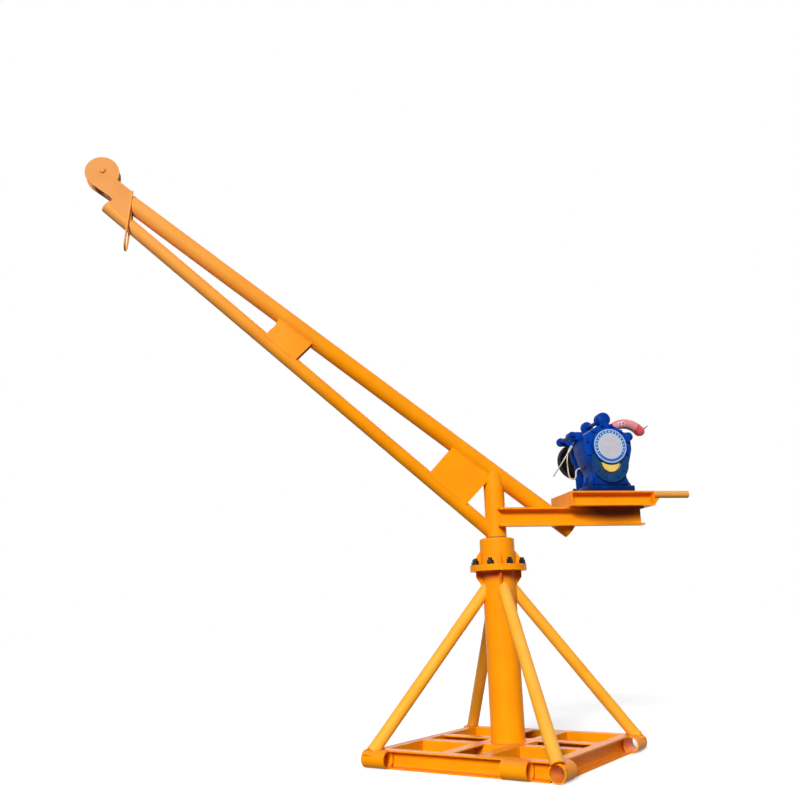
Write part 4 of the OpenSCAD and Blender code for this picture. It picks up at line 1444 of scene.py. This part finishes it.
    def fan_cover(self) -> None:
        """Builds the pressed fan cover with rings of slots through its face."""
        start = self.motor_y + self.motor_len * self.shell_share + 0.4 * MM
        depth = self.motor_y + self.motor_len - start
        piece = Piece("fan_cowl")
        r = self.motor_r
        wall = [(r - 3 * MM, 0), (r, 0.5 * MM), (r, depth - 9 * MM)]
        wall += [(r - 3 * MM, depth - 3 * MM), (r - 9 * MM, depth - 0.5 * MM)]
        edges = [edge for low, high in self.slot_rings for edge in (high, low)]
        face = [(r * share, depth) for share in [0.84] + edges]
        part = turned(wall + face + [(0, depth)], 48)
        rings: list[tuple[float, float, bmesh.types.BMFace]] = []
        for panel in part.faces:
            middle = panel.calc_center_median().xy
            share = middle.length / r
            slotted = any(low < share < high for low, high in self.slot_rings)
            if slotted and panel.normal.z > 0.99:
                rings.append((round(middle.length, 4), math.atan2(middle.y, middle.x), panel))
        rings.sort(key=lambda ring: ring[:2])
        # Every fourth panel stays whole as a rib
        holes = [ring[2] for i, ring in enumerate(rings) if i % 4]
        bmesh.ops.inset_individual(part, faces=holes, thickness=0.5 * MM, depth=0.0)
        bmesh.ops.inset_individual(part, faces=holes, thickness=0.1 * MM, depth=-5 * MM)
        piece.join(part, at(self.axis.x, start, self.axis.z) @ FRONT @ spin(TAU / 2, "X"))
        piece.finish(self.finishes.motor, Body.BOOM, Slot.MOTOR, ("fan_cover",), 0.5)

    def fittings(self) -> None:
        """Builds the capacitor, and dresses the rods between the end plates."""
        low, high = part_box("capacitor")
        place = at(low.x / 2 + high.x / 2, high.y, low.z / 2 + high.z / 2)
        r, length = (high.z - low.z) / 2 / MM, (high.y - low.y) / MM
        can = Piece("run_capacitor")
        shape = [(0, 0), (r - 2, 0), (r, 2), (r, length - 9), (r - 1.5, length - 8), (r - 1.5, length - 6)]
        shape += [(r, length - 5), (r, length - 1), (r - 1, length), (0, length)]
        can.turn(shape, 48, place @ FRONT)
        strap = [(r + 0.4, 18), (r + 0.4, 30), (r - 0.4, 30), (r - 0.4, 18)]
        can.turn(strap, 48, place @ at(0, 0, -0.2 * MM) @ FRONT, closed=True)
        can.finish(self.finishes.black, Body.BOOM, Slot.BLACK, ("capacitor",))
        self.tie_rods()

    def tie_rods(self) -> None:
        """Builds the painted rods between the end plates, with their nuts."""
        piece = Piece("painted_tie_rods")
        nut = HexBolt(15 * MM, 8 * MM, 10 * MM, 1.6 * MM)
        plate = self.motor_y - self.plate_t
        starts = [(x, self.lug_y[1], self.lug[1]) for x in (-self.lug[0], self.lug[0])]
        starts.append((0, self.front + 62 * MM, self.boss_h - 2 * MM))
        for x, y, z in starts:
            length = plate - y - 0.4 * MM
            piece.join(rod(self.rod_r, length, 1 * MM, 32), self.place(x, plate - 0.2 * MM, z))
            behind = at(self.axis.x + x, self.motor_y, self.axis.z + z) @ spin(-TAU / 4, "X")
            nut.add_to(piece, behind, 3 * MM)
        for x in (-self.lug[0], self.lug[0]):
            nut.add_to(piece, self.place(x, self.lug_y[0] + 0.3 * MM, self.lug[1]), 3 * MM)
        piece.finish(self.finishes.winch, Body.BOOM, Slot.WINCH, ("tie_rods",))

    def build(self) -> None:
        """Builds and dresses the winch."""
        self.gearbox()
        self.cover()
        self.bearing()
        self.drum()
        self.motor()
        self.fittings()


@dataclass
class Pendant:
    """The curved hand control that rests on the gearbox, and the lead beside it."""

    finishes: Finishes
    axis: Vector
    # The middle of the handle's arc from the drum's axis, and the arc's radius
    centre: Triple = (123 * MM, -26 * MM, 24 * MM)
    bend: float = 95 * MM
    # Radius at the hand's end and at the lead's end
    radii: Pair = (25.5 * MM, 20.5 * MM)
    # Places along the arc, in degrees: its ends, the nib, the pad and the two buttons
    start: float = 26.0
    end: float = 141.0
    stub_angle: float = 37.0
    pad_angle: float = 104.0
    button_angles: Pair = (99.0, 109.0)
    cord_d: float = 5.5 * MM
    # The lead's route in millimetres from the drum's axis, with Y from the frame's own
    route: tuple[Triple, ...] = (
        (-106, -22, -88.7), (-112, -22, -88.9), (-120, -22, -92), (-126, -22, -99),
        (-128.2, -22.5, -109), (-129.5, -23.5, -122), (-136, -25, -133.5), (-147.5, -27, -138),
        (-159.5, -29, -132.5), (-166, -31, -118), (-169.5, -34, -88), (-170.5, -36, -56),
        (-166.5, -38.5, -26), (-161, -43, -6), (-157.5, -53, 5), (-157, -66, 6),
        (-161.5, -76.5, -3), (-177, -81, -22), (-214, -82, -74), (-258, -82, -134),
    )

    def lead_line(self) -> list[Vector]:
        """Smooths the lead's route.

        Returns:
            The points of its centreline.
        """
        p = [self.axis + Vector(dot) * MM for dot in self.route]
        last = len(p) - 1
        line: list[Vector] = []
        for i in range(last):
            a, b, c, d = p[max(i - 1, 0)], p[i], p[i + 1], p[min(i + 2, last)]
            line.append(b)
            line.append((9 * (b + c) - a - d) / 16)
        return line + [p[last]]

    def lead(self) -> None:
        line = self.lead_line()
        data = bpy.data.curves.new("lead_curve", "CURVE")
        data.dimensions = "3D"
        data.bevel_depth = self.cord_d / 2
        data.bevel_resolution = 4
        data.use_fill_caps = True
        spline = data.splines.new("POLY")
        spline.points.add(len(line) - 1)
        for point, spot in zip(spline.points, line):
            point.co = (*spot, 1.0)
        data.materials.append(self.finishes.lead)
        lead = linked("cream_lead", data)
        settle(lead, Body.BOOM, ("lead",))

    def gland(self) -> None:
        """Builds the ribbed, tapered strain relief where the lead leaves the gearbox."""
        centre = middle_of("lead_gland")
        ribs = [(0, 0), (3.1, 0)]
        for i in range(7):
            z = 1 + 3.2 * i
            ribs += [(3.5 + 0.55 * i, z), (3.5 + 0.55 * i, z + 1.8), (2.9 + 0.5 * i, z + 2.3)]
        ribs += [(8, 24), (8, 31), (0, 31)]
        place = at(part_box("lead_gland")[0].x + 0.2 * MM, centre.y, centre.z) @ spin(TAU / 4, "Y")
        piece = Piece("lead_strain_relief").turn(ribs, 32, place)
        piece.finish(self.finishes.black, Body.BOOM, Slot.BLACK, ("lead_gland",))

    def spot(self, angle: float, out: float = 0.0) -> Matrix:
        """Places something on the handle's arc.

        Args:
            angle: Where on the arc, in degrees.
            out: How far outside the arc.

        Returns:
            The placing, with its Z along the arc.
        """
        turn = math.radians(angle)
        ray = Vector((math.cos(turn), 0, math.sin(turn)))
        heading = Vector((-math.sin(turn), 0, math.cos(turn)))
        place = Matrix((ray, heading.cross(ray), heading)).transposed().to_4x4()
        place.translation = self.axis + Vector(self.centre) + ray * (self.bend + out)
        return place

    def handle(self) -> None:
        """Builds the handle's body, its red end, its pad with two buttons, and its black nib."""
        length = self.bend * math.radians(self.end - self.start)
        split = self.start + 30

        def radius_at(angle: float) -> float:
            """Gives the handle's radius, which tapers and is round at both ends.

            Args:
                angle: Where on the arc, in degrees.

            Returns:
                The radius there.
            """
            share = (angle - self.start) / (self.end - self.start)
            full = self.radii[0] + share * (self.radii[1] - self.radii[0])
            short = full - min(share, 1 - share) * length
            return max(2 * MM, math.sqrt(full**2 - short**2) if short > 0 else full)

        def shell(name: str, low: float, high: float, finish: bpy.types.Material, count: int) -> None:
            """Builds a stretch of the handle.

            Args:
                name: The piece's name.
                low: The angle it starts at.
                high: The angle it ends at.
                finish: Its finish.
                count: Number of rings past the first.
            """
            shares = [(1 - math.cos(math.pi * i / count)) / 2 for i in range(count + 1)]
            angles = [low + (high - low) * share for share in shares]
            radii = [radius_at(angle) - 0.1 * MM for angle in angles]
            piece = Piece(name).join(swept([self.spot(a) for a in angles], radii, 32))
            piece.finish(finish, Body.BOOM, Slot.PENDANT, ("pendant",), 1.0)

        shell("pendant_body", split, self.end, self.finishes.pendant, 30)
        shell("pendant_end", self.start, split - 0.6, self.finishes.pendant_end, 20)

        def in_front(angle: float, sink: float) -> Matrix:
            """Returns the placing on the handle's front, sunk into it by a depth."""
            return self.spot(angle) @ spin(TAU / 4, "X") @ at(0, 0, radius_at(angle) - sink)

        # A pale pad on the handle's front, partly a painted highlight
        plate = block(15 * MM, 34 * MM, 3 * MM, 1.3 * MM)
        pad = Piece("pendant_pad_highlight").join(plate, in_front(self.pad_angle, 2.8 * MM))
        pad.finish(self.finishes.pendant_pad_highlight, Body.BOOM, Slot.PENDANT)
        buttons = Piece("pendant_buttons")
        for angle in self.button_angles:
            buttons.join(rod(5 * MM, 3.4 * MM, 1.2 * MM, 32), in_front(angle, 1.4 * MM))
        buttons.finish(self.finishes.pendant_end, Body.BOOM, Slot.PENDANT)
        foot = self.radii[0] - 0.6 * MM
        ends = [self.spot(self.stub_angle, foot + rise).translation for rise in (0, 25 * MM)]
        shape = [(0, 0), (3, 0), (3, 8), (2.2, 9), (2.2, 25), (0, 25)]
        nib = Piece("pendant_nib").turn(shape, 24, along(*ends))
        nib.finish(self.finishes.black, Body.BOOM, Slot.BLACK, ("pendant_stub",))

    def build(self) -> None:
        """Builds the pendant, and the strain relief of its lead."""
        self.gland()
        self.handle()


def paint(names: Iterable[str], material: bpy.types.Material) -> None:
    """Gives CAD nodes a finish.

    Args:
        names: The nodes' names.
        material: The finish for all of them.
    """
    for name in names:
        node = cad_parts[name]
        if not node.material_slots:
            node.data.materials.append(material)
        for spot in node.material_slots:
            spot.material = material


def main() -> None:
    """Builds the whole scene in order."""
    logging.basicConfig(level=logging.INFO, format="%(name)s: %(message)s")
    axis = middle_of("drum")
    finishes = Finishes(axis, middle_of("sheave"), middle_of("badge"))
    Studio().build()
    pendant = Pendant(finishes, Vector((axis.x, 0, axis.z)))
    pendant.lead()
    Base(finishes).build()
    SlewingHub(finishes).build()
    Boom(finishes).build()
    WinchBracket(finishes).build(axis.x)
    Winch(finishes, axis).build()
    pendant.build()


if __name__ == "__main__":
    main()
